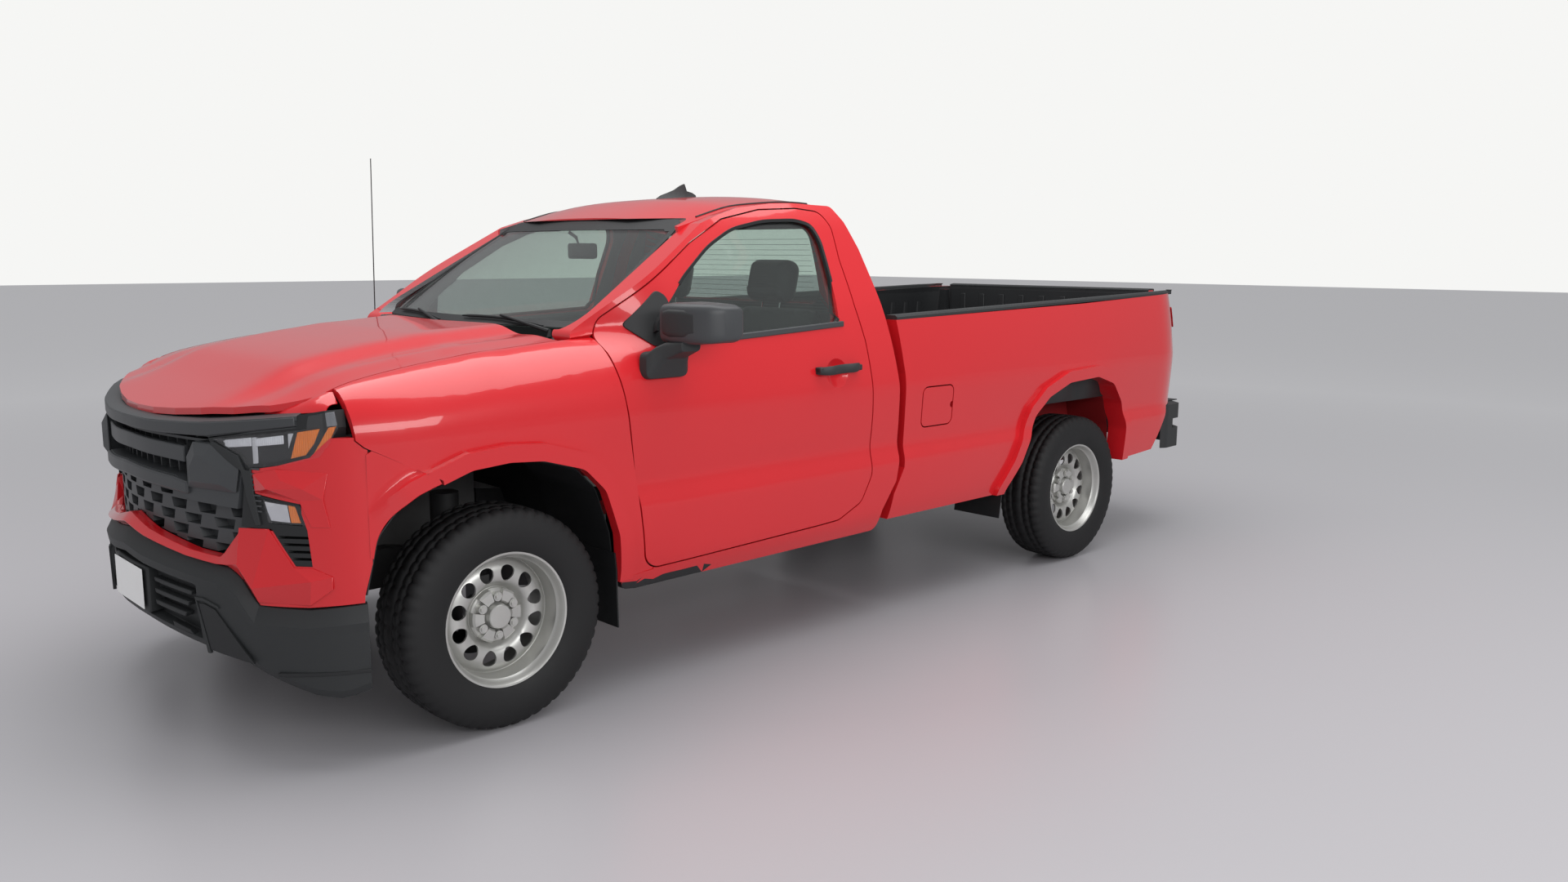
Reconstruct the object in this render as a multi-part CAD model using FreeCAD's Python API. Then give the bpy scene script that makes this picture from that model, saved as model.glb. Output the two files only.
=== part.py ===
import FreeCAD, Part
import math
import os

# A two-door pickup truck with a long bed, standing on its four wheels.
# The truck looks along +X, +Y is its left side, +Z is up and the floor is z = 0.

V = FreeCAD.Vector

# Driving dimensions of the whole truck, in millimetres
wheelbase = 3546.0
front_overhang = 930.0
rear_overhang = 1354.0
roof_height = 1920.0
half_width = 1003.0
flare_depth = 28.0
overrun = 60.0
panel_gap = 6.0
seat_gap = 0.3

front_axle_x = (wheelbase + rear_overhang - front_overhang) / 2
rear_axle_x = front_axle_x - wheelbase
nose_x = front_axle_x + front_overhang
tail_x = rear_axle_x - rear_overhang

# Wheels
tyre_radius = 394.0
tyre_width = 258.0
rim_radius = 233.0
rim_width = 216.0
rim_wall = 9.0
half_track = 870.0
hub_radius = 62.0
spindle_radius = 34.0
spindle_clearance = 0.5
brake_radius = 168.0
brake_thickness = 26.0
hole_count = 12
lug_count = 6
lug_circle_radius = 69.85
lug_radius = 13.0


def along(share):
    """x of a station: -1 is the nose, 0 and 1 are the axles, 2 is the tail."""
    if share < 0:
        return front_axle_x - share * front_overhang
    if share > 1:
        return rear_axle_x - (share - 1) * rear_overhang
    return front_axle_x - share * wheelbase


def level(share):
    """z of a share of the roof's height."""
    return share * roof_height


def across(share):
    """y of a share of the body's half width."""
    return share * half_width


def side_points(shares):
    """Points of a side view outline on the middle plane."""
    return [V(along(a), 0, level(b)) for a, b in shares]


def front_points(shares):
    """Points of a front view outline on the plane x = 0."""
    return [V(0, across(a), level(b)) for a, b in shares]


def smooth(value):
    """Ease a value from 0 to 1."""
    value = max(0.0, min(1.0, value))
    return value * value * (3 - 2 * value)


def curve(table, key):
    """Smooth value through a table of (key, value) pairs in rising order."""
    if key <= table[0][0]:
        return table[0][1]
    if key >= table[-1][0]:
        return table[-1][1]
    index = 0
    while table[index + 1][0] < key:
        index += 1
    slopes = []
    for spot in (index, index + 1):
        low = max(0, spot - 1)
        high = min(len(table) - 1, spot + 1)
        slopes.append((table[high][1] - table[low][1]) / (table[high][0] - table[low][0]))
    start, end = table[index], table[index + 1]
    span = end[0] - start[0]
    t = (key - start[0]) / span
    return (
        start[1] * (2 * t ** 3 - 3 * t ** 2 + 1)
        + slopes[0] * span * (t ** 3 - 2 * t ** 2 + t)
        + end[1] * (3 * t ** 2 - 2 * t ** 3)
        + slopes[1] * span * (t ** 3 - t ** 2)
    )


def steps(low, high, count):
    """Evenly spaced values with both ends."""
    return [low + (high - low) * i / (count - 1) for i in range(count)]


def outline(points, radius=0.0):
    """Closed wire through points, its corners rounded where the sides leave room."""
    if radius <= 0:
        return Part.makePolygon(points + points[:1])
    cuts = []
    count = len(points)
    for i in range(count):
        before, here, after = points[i - 1], points[i], points[(i + 1) % count]
        a = before - here
        b = after - here
        turn = a.getAngle(b)
        room = 0.45 * min(a.Length, b.Length)
        back = min(room, radius / max(math.tan(turn / 2), 1e-6))
        start = here + a.normalize() * back
        end = here + b.normalize() * back
        middle = here + (a + b).normalize() * (back / math.cos(turn / 2) - back * math.tan(turn / 2)) \
            if turn < math.pi * 0.98 else None
        cuts.append((start, middle, end))
    edges = []
    for i in range(count):
        start, middle, end = cuts[i]
        if middle is None:
            edges.append(Part.makeLine(start, end))
        else:
            edges.append(Part.Arc(start, middle, end).toShape())
        following = cuts[(i + 1) % count][0]
        edges.append(Part.makeLine(end, following))
    return Part.Wire(edges)


def prism(points, start, reach, radius=0.0, grow=0.0):
    """Solid from an outline moved by start and swept along reach, grown outwards where asked."""
    wire = outline(points, radius)
    if grow:
        wire = wire.makeOffset2D(grow)
    wire.translate(start)
    return Part.Face(wire).extrude(reach)


def side_prism(points, low, high, radius=0.0, grow=0.0):
    return prism(points, V(0, low, 0), V(0, high - low, 0), radius, grow)


def front_prism(points, low, high, radius=0.0):
    return prism(points, V(low, 0, 0), V(high - low, 0, 0), radius)


def plan_prism(points, low, high, radius=0.0):
    return prism(points, V(0, 0, low), V(0, 0, high - low), radius)


def block(x_one, x_two, y_low, y_high, z_low, z_high):
    """Box between two x values, in either order, and rising y and z."""
    x_low, x_high = min(x_one, x_two), max(x_one, x_two)
    return Part.makeBox(x_high - x_low, y_high - y_low, z_high - z_low, V(x_low, y_low, z_low))


def rod(radius, start, end):
    """Cylinder between two points."""
    reach = end - start
    return Part.makeCylinder(radius, reach.Length, start, reach)


def mirrored(shape):
    return shape.mirror(V(0, 0, 0), V(0, 1, 0))


def both_sides(shape):
    return Part.makeCompound([shape, mirrored(shape)])


def fused(shapes):
    """One shape of all shapes, with its split faces joined."""
    result = shapes[0]
    if len(shapes) > 1:
        result = result.multiFuse(shapes[1:])
    return result.removeSplitter()


def through(points):
    """Smooth curve through points, at even steps of its parameter."""
    line = Part.BSplineCurve()
    line.interpolate(Points=points, Parameters=steps(0.0, 1.0, len(points)))
    return line


def skin(place, first, second):
    """Smooth face through place(u, v) at all u of first and v of second."""
    rows = [through([place(u, v) for v in second]) for u in first]
    columns = [through(list(poles)) for poles in zip(*[row.getPoles() for row in rows])]
    surface = Part.BSplineSurface()
    surface.buildFromPolesMultsKnots(
        [list(poles) for poles in zip(*[column.getPoles() for column in columns])],
        columns[0].getMultiplicities(), rows[0].getMultiplicities(), columns[0].getKnots(), rows[0].getKnots(),
        False, False, columns[0].Degree, rows[0].Degree,
    )
    return surface.toShape()


# Body side sections: half width shares by level shares
cab_section_shares = [
    (0.190, 0.935), (0.245, 0.982), (0.292, 0.993), (0.365, 1.000), (0.388, 0.997), (0.409, 0.983),
    (0.469, 0.992), (0.552, 1.002), (0.589, 0.995), (0.651, 0.972), (0.703, 0.945), (0.755, 0.912),
    (0.833, 0.845), (0.927, 0.757), (0.964, 0.712), (1.000, 0.660),
]
bed_section_shares = [
    (0.190, 0.935), (0.245, 0.975), (0.292, 0.990), (0.365, 1.000), (0.388, 0.997), (0.409, 0.985),
    (0.469, 0.992), (0.552, 1.002), (0.589, 0.996), (0.651, 0.982), (0.703, 0.966), (0.760, 0.945),
]
fender_low_shares = [
    (0.190, 0.950), (0.292, 0.990), (0.365, 0.998), (0.469, 0.996), (0.552, 1.002),
]
fender_shoulder_share = 0.552
cut_line_share = 0.822
nose_turn_start_share = 0.161
nose_turn_end_share = 0.613
nose_turn_depth_share = 0.080
nose_turn_power = 3.4
tail_turn_start_share = 1.594
tail_turn_end_share = 1.823
tail_turn_depth_share = 0.100
tail_turn_power = 2.6

# Hood heights: level shares by station shares, on the line beside the raised middle
hood_rise_shares = [
    (-0.960, 0.583), (-0.860, 0.598), (-0.683, 0.622), (-0.505, 0.655), (-0.258, 0.678),
    (0.003, 0.695), (0.103, 0.708), (0.160, 0.712),
]
hood_dome_height = 32.0
hood_dome_half_width_share = 0.43
hood_dome_flank_share = 0.15
hood_edge_fall = 16.0

# Roof heights: level shares by station shares, on the middle line
roof_rise_shares = [
    (0.270, 0.935), (0.295, 0.948), (0.330, 0.967), (0.367, 0.985), (0.423, 0.996),
    (0.465, 1.000), (0.508, 0.997), (0.560, 0.984),
]
roof_half_width_share = 0.690
roof_side_fall = 45.0
roof_thickness = 42.0


def nose_turn(x):
    """How far the body side turns in towards the nose."""
    start = front_axle_x + nose_turn_start_share * front_overhang
    end = front_axle_x + nose_turn_end_share * front_overhang
    t = max(0.0, (x - start) / (end - start))
    return across(nose_turn_depth_share) * t ** nose_turn_power


def tail_turn(x):
    """How far the bed side turns in towards the tailgate."""
    start, end = along(tail_turn_start_share), along(tail_turn_end_share)
    t = max(0.0, (x - start) / (end - start))
    return across(tail_turn_depth_share) * t ** tail_turn_power


def station_of(x):
    """Station share of an x, the reverse of along."""
    if x > front_axle_x:
        return (front_axle_x - x) / front_overhang
    if x < rear_axle_x:
        return 1 + (rear_axle_x - x) / rear_overhang
    return (front_axle_x - x) / wheelbase


def hood_height(x, y):
    """z of the hood's surface, also over the fender tops."""
    base = level(curve(hood_rise_shares, station_of(x)))
    aside = abs(y) / half_width
    dome = 1 - smooth((aside - hood_dome_half_width_share) / hood_dome_flank_share)
    fade = smooth((station_of(x) + 0.95) / 0.45)
    fall = smooth((aside - 0.64) / 0.2)
    return base + hood_dome_height * dome * fade - hood_edge_fall * fall


def roof_height_at(x, y):
    """z of the roof's surface."""
    top = level(curve(roof_rise_shares, station_of(x)))
    return top - roof_side_fall * (abs(y) / across(roof_half_width_share)) ** 2.6


def fender_side(x, z):
    """y of the front fender's surface."""
    wide = across(curve(fender_low_shares, z / roof_height)) - nose_turn(x)
    shoulder = level(fender_shoulder_share)
    if z <= shoulder:
        return wide
    cut = across(cut_line_share)
    top = hood_height(x, cut)
    rise = min(1.0, (z - shoulder) / (top - shoulder))
    inward = 1 - (1 - rise ** 2.2) ** 0.62
    return wide - (wide - min(wide, cut)) * inward


def cab_side(x, z):
    """y of the door and cab surface, which meets the fender at the door's front edge."""
    wide = across(curve(cab_section_shares, z / roof_height))
    blend = smooth((station_of(x) - 0.13) / 0.11)
    return wide * blend + min(fender_side(x, z), wide) * (1 - blend)


def bed_side(x, z):
    """y of the bed's outer surface."""
    return across(curve(bed_section_shares, z / roof_height)) - tail_turn(x)


def side_skin(side, stations, levels):
    """Face of a body side function over a grid."""
    return skin(lambda x, z: V(x, side(x, z), z), stations, levels)


# Windshield: its centre line from base to header, and how far its sides sweep back
windshield_base_shares = (0.093, 0.705)
windshield_top_shares = (0.293, 0.945)
windshield_sweep = 118.0
windshield_crown = 16.0
windshield_half_base_share = 0.800
windshield_half_top_share = 0.660
glass_thickness = 6.0
glass_outline_shares = [(-0.800, 0.716), (0.800, 0.716), (0.655, 0.938), (-0.655, 0.938)]
glass_corner = 60.0


def windshield_place(y, z):
    """Point of the windshield's outer surface."""
    base_x, base_z = along(windshield_base_shares[0]), level(windshield_base_shares[1])
    top_x, top_z = along(windshield_top_shares[0]), level(windshield_top_shares[1])
    t = (z - base_z) / (top_z - base_z)
    aside = (y / across(windshield_half_base_share)) ** 2
    x = base_x + (top_x - base_x) * t - windshield_sweep * aside
    return V(x + windshield_crown * 4 * t * (1 - t), y, z)


def windshield_slab(thickness, lift=0.0):
    """Curved slab just under the windshield's outer surface."""
    rows = steps(level(0.690), level(0.965), 7)
    columns = steps(-across(0.86), across(0.86), 11)
    face = skin(windshield_place, columns, rows)
    normal = V(0.53, 0, 0.85)
    face.translate(normal * lift)
    return face.extrude(normal * (-thickness - lift))


# Cab back: x by level, leaning forward towards the roof
cab_back_shares = [
    (0.200, 0.545), (0.263, 0.547), (0.329, 0.571), (0.386, 0.576), (0.443, 0.575),
    (0.547, 0.573), (0.641, 0.570), (0.720, 0.563), (0.773, 0.560), (0.875, 0.551), (0.938, 0.541),
    (0.990, 0.528),
]
cab_wall = 62.0
rear_window_shares = [(-0.600, 0.742), (0.600, 0.742), (0.560, 0.925), (-0.560, 0.925)]

# Doors
door_outline_shares = [
    (0.170, 0.244), (0.156, 0.427), (0.140, 0.625), (0.134, 0.703), (0.143, 0.736), (0.207, 0.807),
    (0.276, 0.884), (0.335, 0.935), (0.400, 0.958), (0.465, 0.964), (0.503, 0.958), (0.513, 0.925),
    (0.508, 0.850), (0.510, 0.745), (0.517, 0.665), (0.523, 0.500), (0.522, 0.354), (0.505, 0.295),
    (0.466, 0.263), (0.434, 0.260),
]
window_outline_shares = [
    (0.197, 0.722), (0.248, 0.812), (0.300, 0.878), (0.345, 0.916), (0.400, 0.935), (0.455, 0.939),
    (0.479, 0.928), (0.486, 0.895), (0.484, 0.830), (0.477, 0.705), (0.317, 0.692), (0.196, 0.684),
]
door_corner = 70.0
door_thickness = 96.0
door_frame_thickness = 50.0
door_flange_depth = 14.0
door_flange_width = 18.0
door_belt_share = 0.706
striker_station_share = 0.523
striker_radius = 7.0
striker_length = 46.0
striker_root = 14.0
striker_inset = 48.0
side_frame_depth = 118.0
pane_inset = 14.0
cab_outline_shares = [
    (0.140, 0.210), (0.160, 0.205), (0.541, 0.214), (0.547, 0.263), (0.571, 0.329), (0.576, 0.386),
    (0.573, 0.547), (0.563, 0.720), (0.551, 0.875), (0.541, 0.938), (0.529, 0.974), (0.465, 0.977),
    (0.423, 0.974), (0.367, 0.962), (0.330, 0.944), (0.300, 0.926), (0.107, 0.712), (0.112, 0.640),
    (0.137, 0.480), (0.138, 0.300),
]

# Fender, from the door's front edge to the lamps
fender_outline_shares = [
    (0.180, 0.240), (0.170, 0.427), (0.160, 0.625), (0.145, 0.708), (0.112, 0.735), (-0.100, 0.735),
    (-0.545, 0.735), (-0.552, 0.610), (-0.545, 0.560), (-0.520, 0.548), (-0.269, 0.482), (-0.20, 0.30),
    (0.120, 0.230),
]
fender_skin = 18.0

# Arches: points about the wheel's centre line on the floor, in shares of the tyre's radius
front_arch_shares = [
    (1.32, 0.20), (1.27, 1.454), (1.152, 1.926), (0.880, 2.226), (0.363, 2.400), (0.000, 2.426),
    (-0.335, 2.400), (-0.766, 2.274), (-0.990, 2.050), (-1.140, 1.607), (-1.180, 1.250), (-1.200, 0.20),
]
rear_arch_shares = [
    (1.90, 0.20), (1.731, 1.216), (1.452, 1.536), (1.307, 1.820), (1.142, 2.130), (0.860, 2.350),
    (0.400, 2.510), (-0.279, 2.543), (-0.700, 2.420), (-0.960, 2.130), (-1.065, 1.750),
    (-1.060, 1.40), (-1.11, 0.20),
]
flare_reach = 62.0
arch_round = 90.0


def arch_points(axle_x, shares, grow=0.0):
    """Outline of a wheel arch, grown outwards where asked."""
    centre = V(axle_x, 0, tyre_radius)
    points = []
    for a, b in shares:
        point = V(axle_x + a * tyre_radius, 0, b * tyre_radius)
        away = point - centre
        points.append(point + away.normalize() * grow)
    return points


def flare(side_face, axle_x, shares, depth):
    """Raised band along a wheel arch, in the body side's own curve."""
    proud = side_face.copy()
    proud.translate(V(0, flare_depth, 0))
    slab = proud.extrude(V(0, -depth - flare_depth, 0))
    band = side_prism(arch_points(axle_x, shares, flare_reach), 0, half_width + overrun, arch_round)
    return slab.common(band)


# Bed
bed_outline_shares = [
    (0.563, 0.235), (0.569, 0.296), (0.586, 0.358), (0.587, 0.433), (0.585, 0.583), (0.576, 0.710),
    (1.030, 0.728), (1.819, 0.748), (1.823, 0.700), (1.823, 0.412), (1.700, 0.402), (1.575, 0.274),
    (0.900, 0.238),
]
bed_wall = 88.0
bed_floor_z = 845.0
bed_low_share = 0.242
bed_sill_shares = (0.705, 0.850, 1.060, 1.400, 1.640)
bed_sill_width = 60.0
bed_sill_half_length = 625.0
bed_rail_top_shares = (0.393, 0.375)
bed_floor_thickness = 5.0
bed_rib_height = 12.0
bed_rib_count = 9
bed_front_share = 0.588
bed_front_thickness = 38.0
bed_inner_half_width = 907.0
wheelhouse_half_gap = 643.0
wheelhouse_sheet = 5.0
tailgate_half_width = 763.0
gate_pin_inset = 15.0
gate_pin_radius = 9.0
gate_pin_depth = 30.0
tailgate_thickness = 56.0
tailgate_bottom = 800.0
gate_recess_half = 118.0
gate_recess_shares = (0.640, 0.682)
gate_recess_depth = 16.0
tailgate_share = 1.823
rail_cap_height = 14.0
fuel_door_shares = [
    (0.621, 0.449), (0.621, 0.544), (0.683, 0.544), (0.683, 0.449),
]
fuel_door_corner = 30.0
fuel_door_thickness = 8.0
fuel_pocket_depth = 60.0
fuel_latch_shares = (0.672, 0.496)
fuel_latch_radius = 7.0
fuel_notch_radius = 16.0


# Frames of the chassis
rail_half_gap = 420.0
rail_width = 66.0
rail_wall = 6.0
rail_outline_shares = [
    (-0.900, 0.235), (-0.200, 0.235), (0.130, 0.172), (0.595, 0.172), (0.700, 0.318), (1.150, 0.318),
    (1.300, 0.300), (1.900, 0.300), (1.900, 0.375), (1.290, 0.375), (1.140, 0.393), (0.690, 0.393),
    (0.585, 0.246), (0.150, 0.246), (-0.190, 0.309), (-0.900, 0.309),
]
crossmember_radius = 29.0
crossmember_shares = [(-0.700, 0.272), (0.320, 0.190), (0.500, 0.190), (0.900, 0.352), (1.760, 0.337)]
cab_mount_shares = (0.170, 0.340, 0.505)
cab_mount_radius = 30.0
cab_rail_top_share = 0.246


def make_ladder_frame():
    """Two channel rails with round crossmembers and the rubber mounts of the cab."""
    points = side_points(rail_outline_shares)
    for point in points:
        if point.x < along(1.85):
            point.x = tail_x + rear_bumper_wall + seat_gap
    outer = rail_half_gap + rail_width
    rail = side_prism(points, rail_half_gap, outer)
    wire = outline(points)
    wire.translate(V(0, rail_half_gap, 0))
    inner = wire.makeOffset2D(-rail_wall)
    hollow = Part.Face(inner).extrude(V(0, rail_width - rail_wall, 0))
    channel = rail.cut(hollow)
    pieces = [channel, mirrored(channel)]
    for a, b in crossmember_shares:
        reach = outer - rail_wall / 2
        pieces.append(rod(crossmember_radius, V(along(a), -reach, level(b)), V(along(a), reach, level(b))))
    rail_top = level(cab_rail_top_share)
    mount_top = level(floor_level_share) - seat_gap
    for a in cab_mount_shares:
        for y in (-rail_half_gap - rail_width / 2, rail_half_gap + rail_width / 2):
            pieces.append(rod(cab_mount_radius, V(along(a), y, rail_top - rail_wall), V(along(a), y, mount_top)))
    frame = fused(pieces)
    return frame.cut(nose_band(-overrun, bumper_thickness + seat_gap))


engine_length = 640.0
engine_half_width = 270.0
engine_height = 560.0
engine_bottom = 430.0
crank_height = 90.0
engine_back_share = 0.080
gearbox_length = 760.0
gearbox_radius = 120.0
shaft_radius = 45.0
shaft_clearance = 2.0
axle_tube_radius = 44.0
diff_radius = 150.0


def make_engine_block():
    """The engine as one plain block on its two mounts."""
    back = along(engine_back_share)
    block_body = block(
        back, back + engine_length, -engine_half_width, engine_half_width,
        engine_bottom, engine_bottom + engine_height,
    )
    reach = rail_half_gap - seat_gap
    arm_x = back + engine_length / 2
    arms = block(
        arm_x - crank_height / 2, arm_x + crank_height / 2, -reach, reach,
        engine_bottom + crank_height / 2, engine_bottom + crank_height,
    )
    return fused([block_body, arms])


def make_driveline():
    """Gearbox behind the engine and the shaft to the rear axle."""
    back = along(engine_back_share)
    height = engine_bottom + crank_height
    end = V(back - gearbox_length, 0, height)
    bell = Part.makeCone(gearbox_radius, 0.6 * gearbox_radius, gearbox_length, V(back, 0, height), V(-1, 0, 0))
    final = V(rear_axle_x + diff_radius + 0.5 * axle_tube_radius, 0, tyre_radius)
    shaft = rod(shaft_radius, end + V(shaft_radius, 0, 0), final)
    mount_x, mount_z = along(crossmember_shares[1][0]), level(crossmember_shares[1][1])
    foot = rod(0.3 * gearbox_radius, V(mount_x, 0, mount_z + crossmember_radius + seat_gap), V(mount_x, 0, height))
    return fused([bell, shaft, foot])


def make_rear_axle():
    """Axle tube with its differential and the stubs that carry the rear wheels."""
    reach = half_track - tyre_width / 2 + rim_width / 2
    tube = rod(axle_tube_radius, V(rear_axle_x, -reach + hub_radius, tyre_radius), V(rear_axle_x, reach - hub_radius, tyre_radius))
    ball = Part.makeSphere(diff_radius, V(rear_axle_x, 0, tyre_radius))
    nose = rod(0.5 * diff_radius, V(rear_axle_x, 0, tyre_radius), V(rear_axle_x + diff_radius + 0.4 * axle_tube_radius, 0, tyre_radius))
    stub = rod(spindle_radius, V(rear_axle_x, -half_track, tyre_radius), V(rear_axle_x, half_track, tyre_radius))
    return fused([tube, ball, nose, stub])


spring_half_length = 700.0
spring_width = 64.0
spring_thickness = 36.0
spring_sag = 180.0
spring_half_gap = 560.0


def make_leaf_springs():
    """Two leaf packs that hang below the rails and sit on the axle tube."""
    eye_z = tyre_radius + axle_tube_radius + spring_sag
    low_z = tyre_radius + axle_tube_radius + seat_gap
    left = V(rear_axle_x + spring_half_length, 0, eye_z)
    right = V(rear_axle_x - spring_half_length, 0, eye_z)
    middle = V(rear_axle_x, 0, low_z)
    rise = V(0, 0, spring_thickness)
    low = Part.Arc(left, middle, right).toShape()
    high = Part.Arc(left + rise, middle + rise, right + rise).toShape()
    face = Part.Face(Part.Wire([
        low, Part.makeLine(right, right + rise), high, Part.makeLine(left + rise, left),
    ]))
    face.translate(V(0, spring_half_gap - spring_width / 2, 0))
    pack = face.extrude(V(0, spring_width, 0))
    eyes = []
    for end in (left, right):
        place = end + rise * 0.5
        pin = rod(
            0.7 * spring_thickness,
            place + V(0, rail_half_gap + rail_width + seat_gap, 0),
            place + V(0, spring_half_gap + spring_width / 2, 0),
        )
        eyes.append(pin)
    return both_sides(fused([pack] + eyes))


kingpin_half_gap = 775.0
kingpin_radius = 20.0
knuckle_height = 250.0
knuckle_width = 56.0
knuckle_depth = 70.0
arm_thickness = 34.0
arm_width = 96.0
arm_outer = 790.0
strut_radius = 52.0


def make_front_suspension():
    """Upper and lower arms with a spring strut on each side."""
    inner = rail_half_gap + rail_width + seat_gap
    pieces = []
    for direction in (-1, 1):
        z = tyre_radius + direction * (knuckle_height / 2 + seat_gap)
        low = min(z, z + direction * arm_thickness)
        points = [
            V(front_axle_x - 1.6 * arm_width, inner, 0), V(front_axle_x + 1.6 * arm_width, inner, 0),
            V(front_axle_x + 0.5 * arm_width, arm_outer, 0), V(front_axle_x - 0.5 * arm_width, arm_outer, 0),
        ]
        arm = plan_prism(points, low, low + arm_thickness, arm_thickness)
        hole = [
            V(front_axle_x - 0.8 * arm_width, inner + 0.5 * arm_thickness, 0),
            V(front_axle_x + 0.8 * arm_width, inner + 0.5 * arm_thickness, 0),
            V(front_axle_x, arm_outer - 5 * arm_thickness, 0),
        ]
        pieces.append(arm.cut(plan_prism(hole, low - overrun, low + arm_thickness + overrun)))
    base = tyre_radius - knuckle_height / 2 - seat_gap
    place = V(front_axle_x, inner + 1.3 * strut_radius, base)
    top = V(front_axle_x, inner + 1.3 * strut_radius, level(0.41))
    strut = rod(strut_radius, place, top)
    arms = pieces[0].fuse(strut).fuse(pieces[1])
    return both_sides(arms.removeSplitter())


def make_knuckle(side):
    """Upright that carries a front wheel, turning about its kingpin."""
    y = kingpin_half_gap
    upright = block(
        front_axle_x - knuckle_width / 2, front_axle_x + knuckle_width / 2,
        y - knuckle_depth / 2, y + knuckle_depth / 2,
        tyre_radius - knuckle_height / 2, tyre_radius + knuckle_height / 2,
    )
    flange = rod(
        hub_radius, V(front_axle_x, y, tyre_radius),
        V(front_axle_x, half_track - brake_thickness - spindle_clearance, tyre_radius),
    )
    stub = rod(spindle_radius, V(front_axle_x, y, tyre_radius), V(front_axle_x, half_track, tyre_radius))
    shape = fused([upright, flange, stub])
    return shape if side > 0 else mirrored(shape)


rim_dish = 34.0
disc_thickness = 8.0
cap_radius = 86.0
cap_height = 34.0
hole_circle_share = 0.745
hole_height_share = 0.25
hole_width_share = 0.30


def wheel_profile(points, side, axle_x):
    """Solid of revolution about a wheel's axis from (radius, y) points."""
    wire = Part.makePolygon([V(0, y, r) for r, y in points + points[:1]])
    solid = Part.Face(wire).revolve(V(0, 0, 0), V(0, 1, 0), 360)
    if side < 0:
        solid = mirrored(solid)
    solid.translate(V(axle_x, side * half_track, tyre_radius))
    return solid


def make_tyre(axle_x, side):
    """Tyre with flat tread, sloping shoulders and tapered sidewalls."""
    half_tyre = tyre_width / 2
    shoulder = 0.93 * tyre_radius
    tread_half = 0.80 * half_tyre
    bead = rim_radius + seat_gap
    bead_half = 0.82 * half_tyre
    points = [
        (bead, -bead_half), (shoulder, -half_tyre), (tyre_radius, -tread_half),
        (tyre_radius, tread_half), (shoulder, half_tyre), (bead, bead_half),
    ]
    return wheel_profile(points, side, axle_x)


def make_rim(axle_x, side):
    """Pressed steel wheel with twelve holes, its cap and the brake disc behind it."""
    half_rim = rim_width / 2
    barrel = wheel_profile([
        (rim_radius, -half_rim), (rim_radius, half_rim),
        (rim_radius - rim_wall, half_rim), (rim_radius - rim_wall, -half_rim),
    ], side, axle_x)
    face_y = rim_dish
    disc = wheel_profile([
        (hub_radius * 0.55, 0), (hub_radius * 1.7, 0), (0.70 * rim_radius, face_y),
        (rim_radius - 0.5 * rim_wall, 0.4 * face_y), (rim_radius - 0.5 * rim_wall, 0.4 * face_y + disc_thickness),
        (0.70 * rim_radius, face_y + disc_thickness), (hub_radius * 1.7, disc_thickness),
        (hub_radius * 0.55, disc_thickness),
    ], side, axle_x)
    centre = V(axle_x, side * half_track, tyre_radius)
    hole_height = hole_height_share * rim_radius
    hole_half = hole_width_share * rim_radius / 2
    middle = hole_circle_share * rim_radius
    points = [
        V(-hole_half, -half_rim, middle + hole_height / 2), V(hole_half, -half_rim, middle + hole_height / 2),
        V(0.3 * hole_half, -half_rim, middle - hole_height / 2), V(-0.3 * hole_half, -half_rim, middle - hole_height / 2),
    ]
    tool = prism(points, V(0, 0, 0), V(0, rim_width, 0), 0.2 * hole_height)
    tool.translate(centre)
    tools = []
    for index in range(hole_count):
        turned = tool.copy()
        turned.rotate(centre, V(0, 1, 0), (index + 0.5) * 360 / hole_count)
        tools.append(turned)
    disc = disc.cut(Part.makeCompound(tools))
    cap = wheel_profile([
        (0, disc_thickness - 2), (cap_radius, disc_thickness - 2), (0.86 * cap_radius, disc_thickness + cap_height * 0.6),
        (0.45 * cap_radius, disc_thickness + cap_height * 0.6), (0.40 * cap_radius, disc_thickness + cap_height),
        (0, disc_thickness + cap_height),
    ], side, axle_x)
    lugs = []
    for index in range(lug_count):
        turn = 2 * math.pi * index / lug_count
        spot = centre + V(lug_circle_radius * math.sin(turn), 0, lug_circle_radius * math.cos(turn))
        lugs.append(rod(lug_radius, spot, spot + V(0, side * (disc_thickness + cap_height * 0.9), 0)))
    brake = wheel_profile([
        (spindle_radius + spindle_clearance, -brake_thickness), (brake_radius, -brake_thickness),
        (brake_radius, -0.3 * brake_thickness), (hub_radius * 1.5, -0.3 * brake_thickness),
        (hub_radius * 1.5, 0), (spindle_radius + spindle_clearance, 0),
    ], side, axle_x)
    return fused([barrel, disc, brake, cap] + lugs)


exhaust_radius = 38.0
muffler_radius = 90.0
muffler_length = 560.0


def make_exhaust():
    """Pipe with its muffler along the right side of the shaft, out beside the rear wheel."""
    y = -0.62 * rail_half_gap
    z = level(crossmember_shares[1][1]) - crossmember_radius - exhaust_radius - seat_gap
    front = V(along(0.16), y, z)
    bend = V(along(0.78), y, z)
    pipe = rod(exhaust_radius, front, bend)
    muffler = rod(muffler_radius, V(along(0.60) + muffler_length / 2, y, z), V(along(0.60) - muffler_length / 2, y, z))
    return fused([pipe, muffler])


tank_outline_shares = [(0.615, 0.215), (0.745, 0.215), (0.745, 0.360), (0.615, 0.360)]
tank_width = 250.0


def make_fuel_tank():
    """Tank outside the left rail, ahead of the rear wheel."""
    low = rail_half_gap + rail_width + seat_gap
    return side_prism(side_points(tank_outline_shares), low, low + tank_width, tank_width / 5)


spare_share = 1.42


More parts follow.
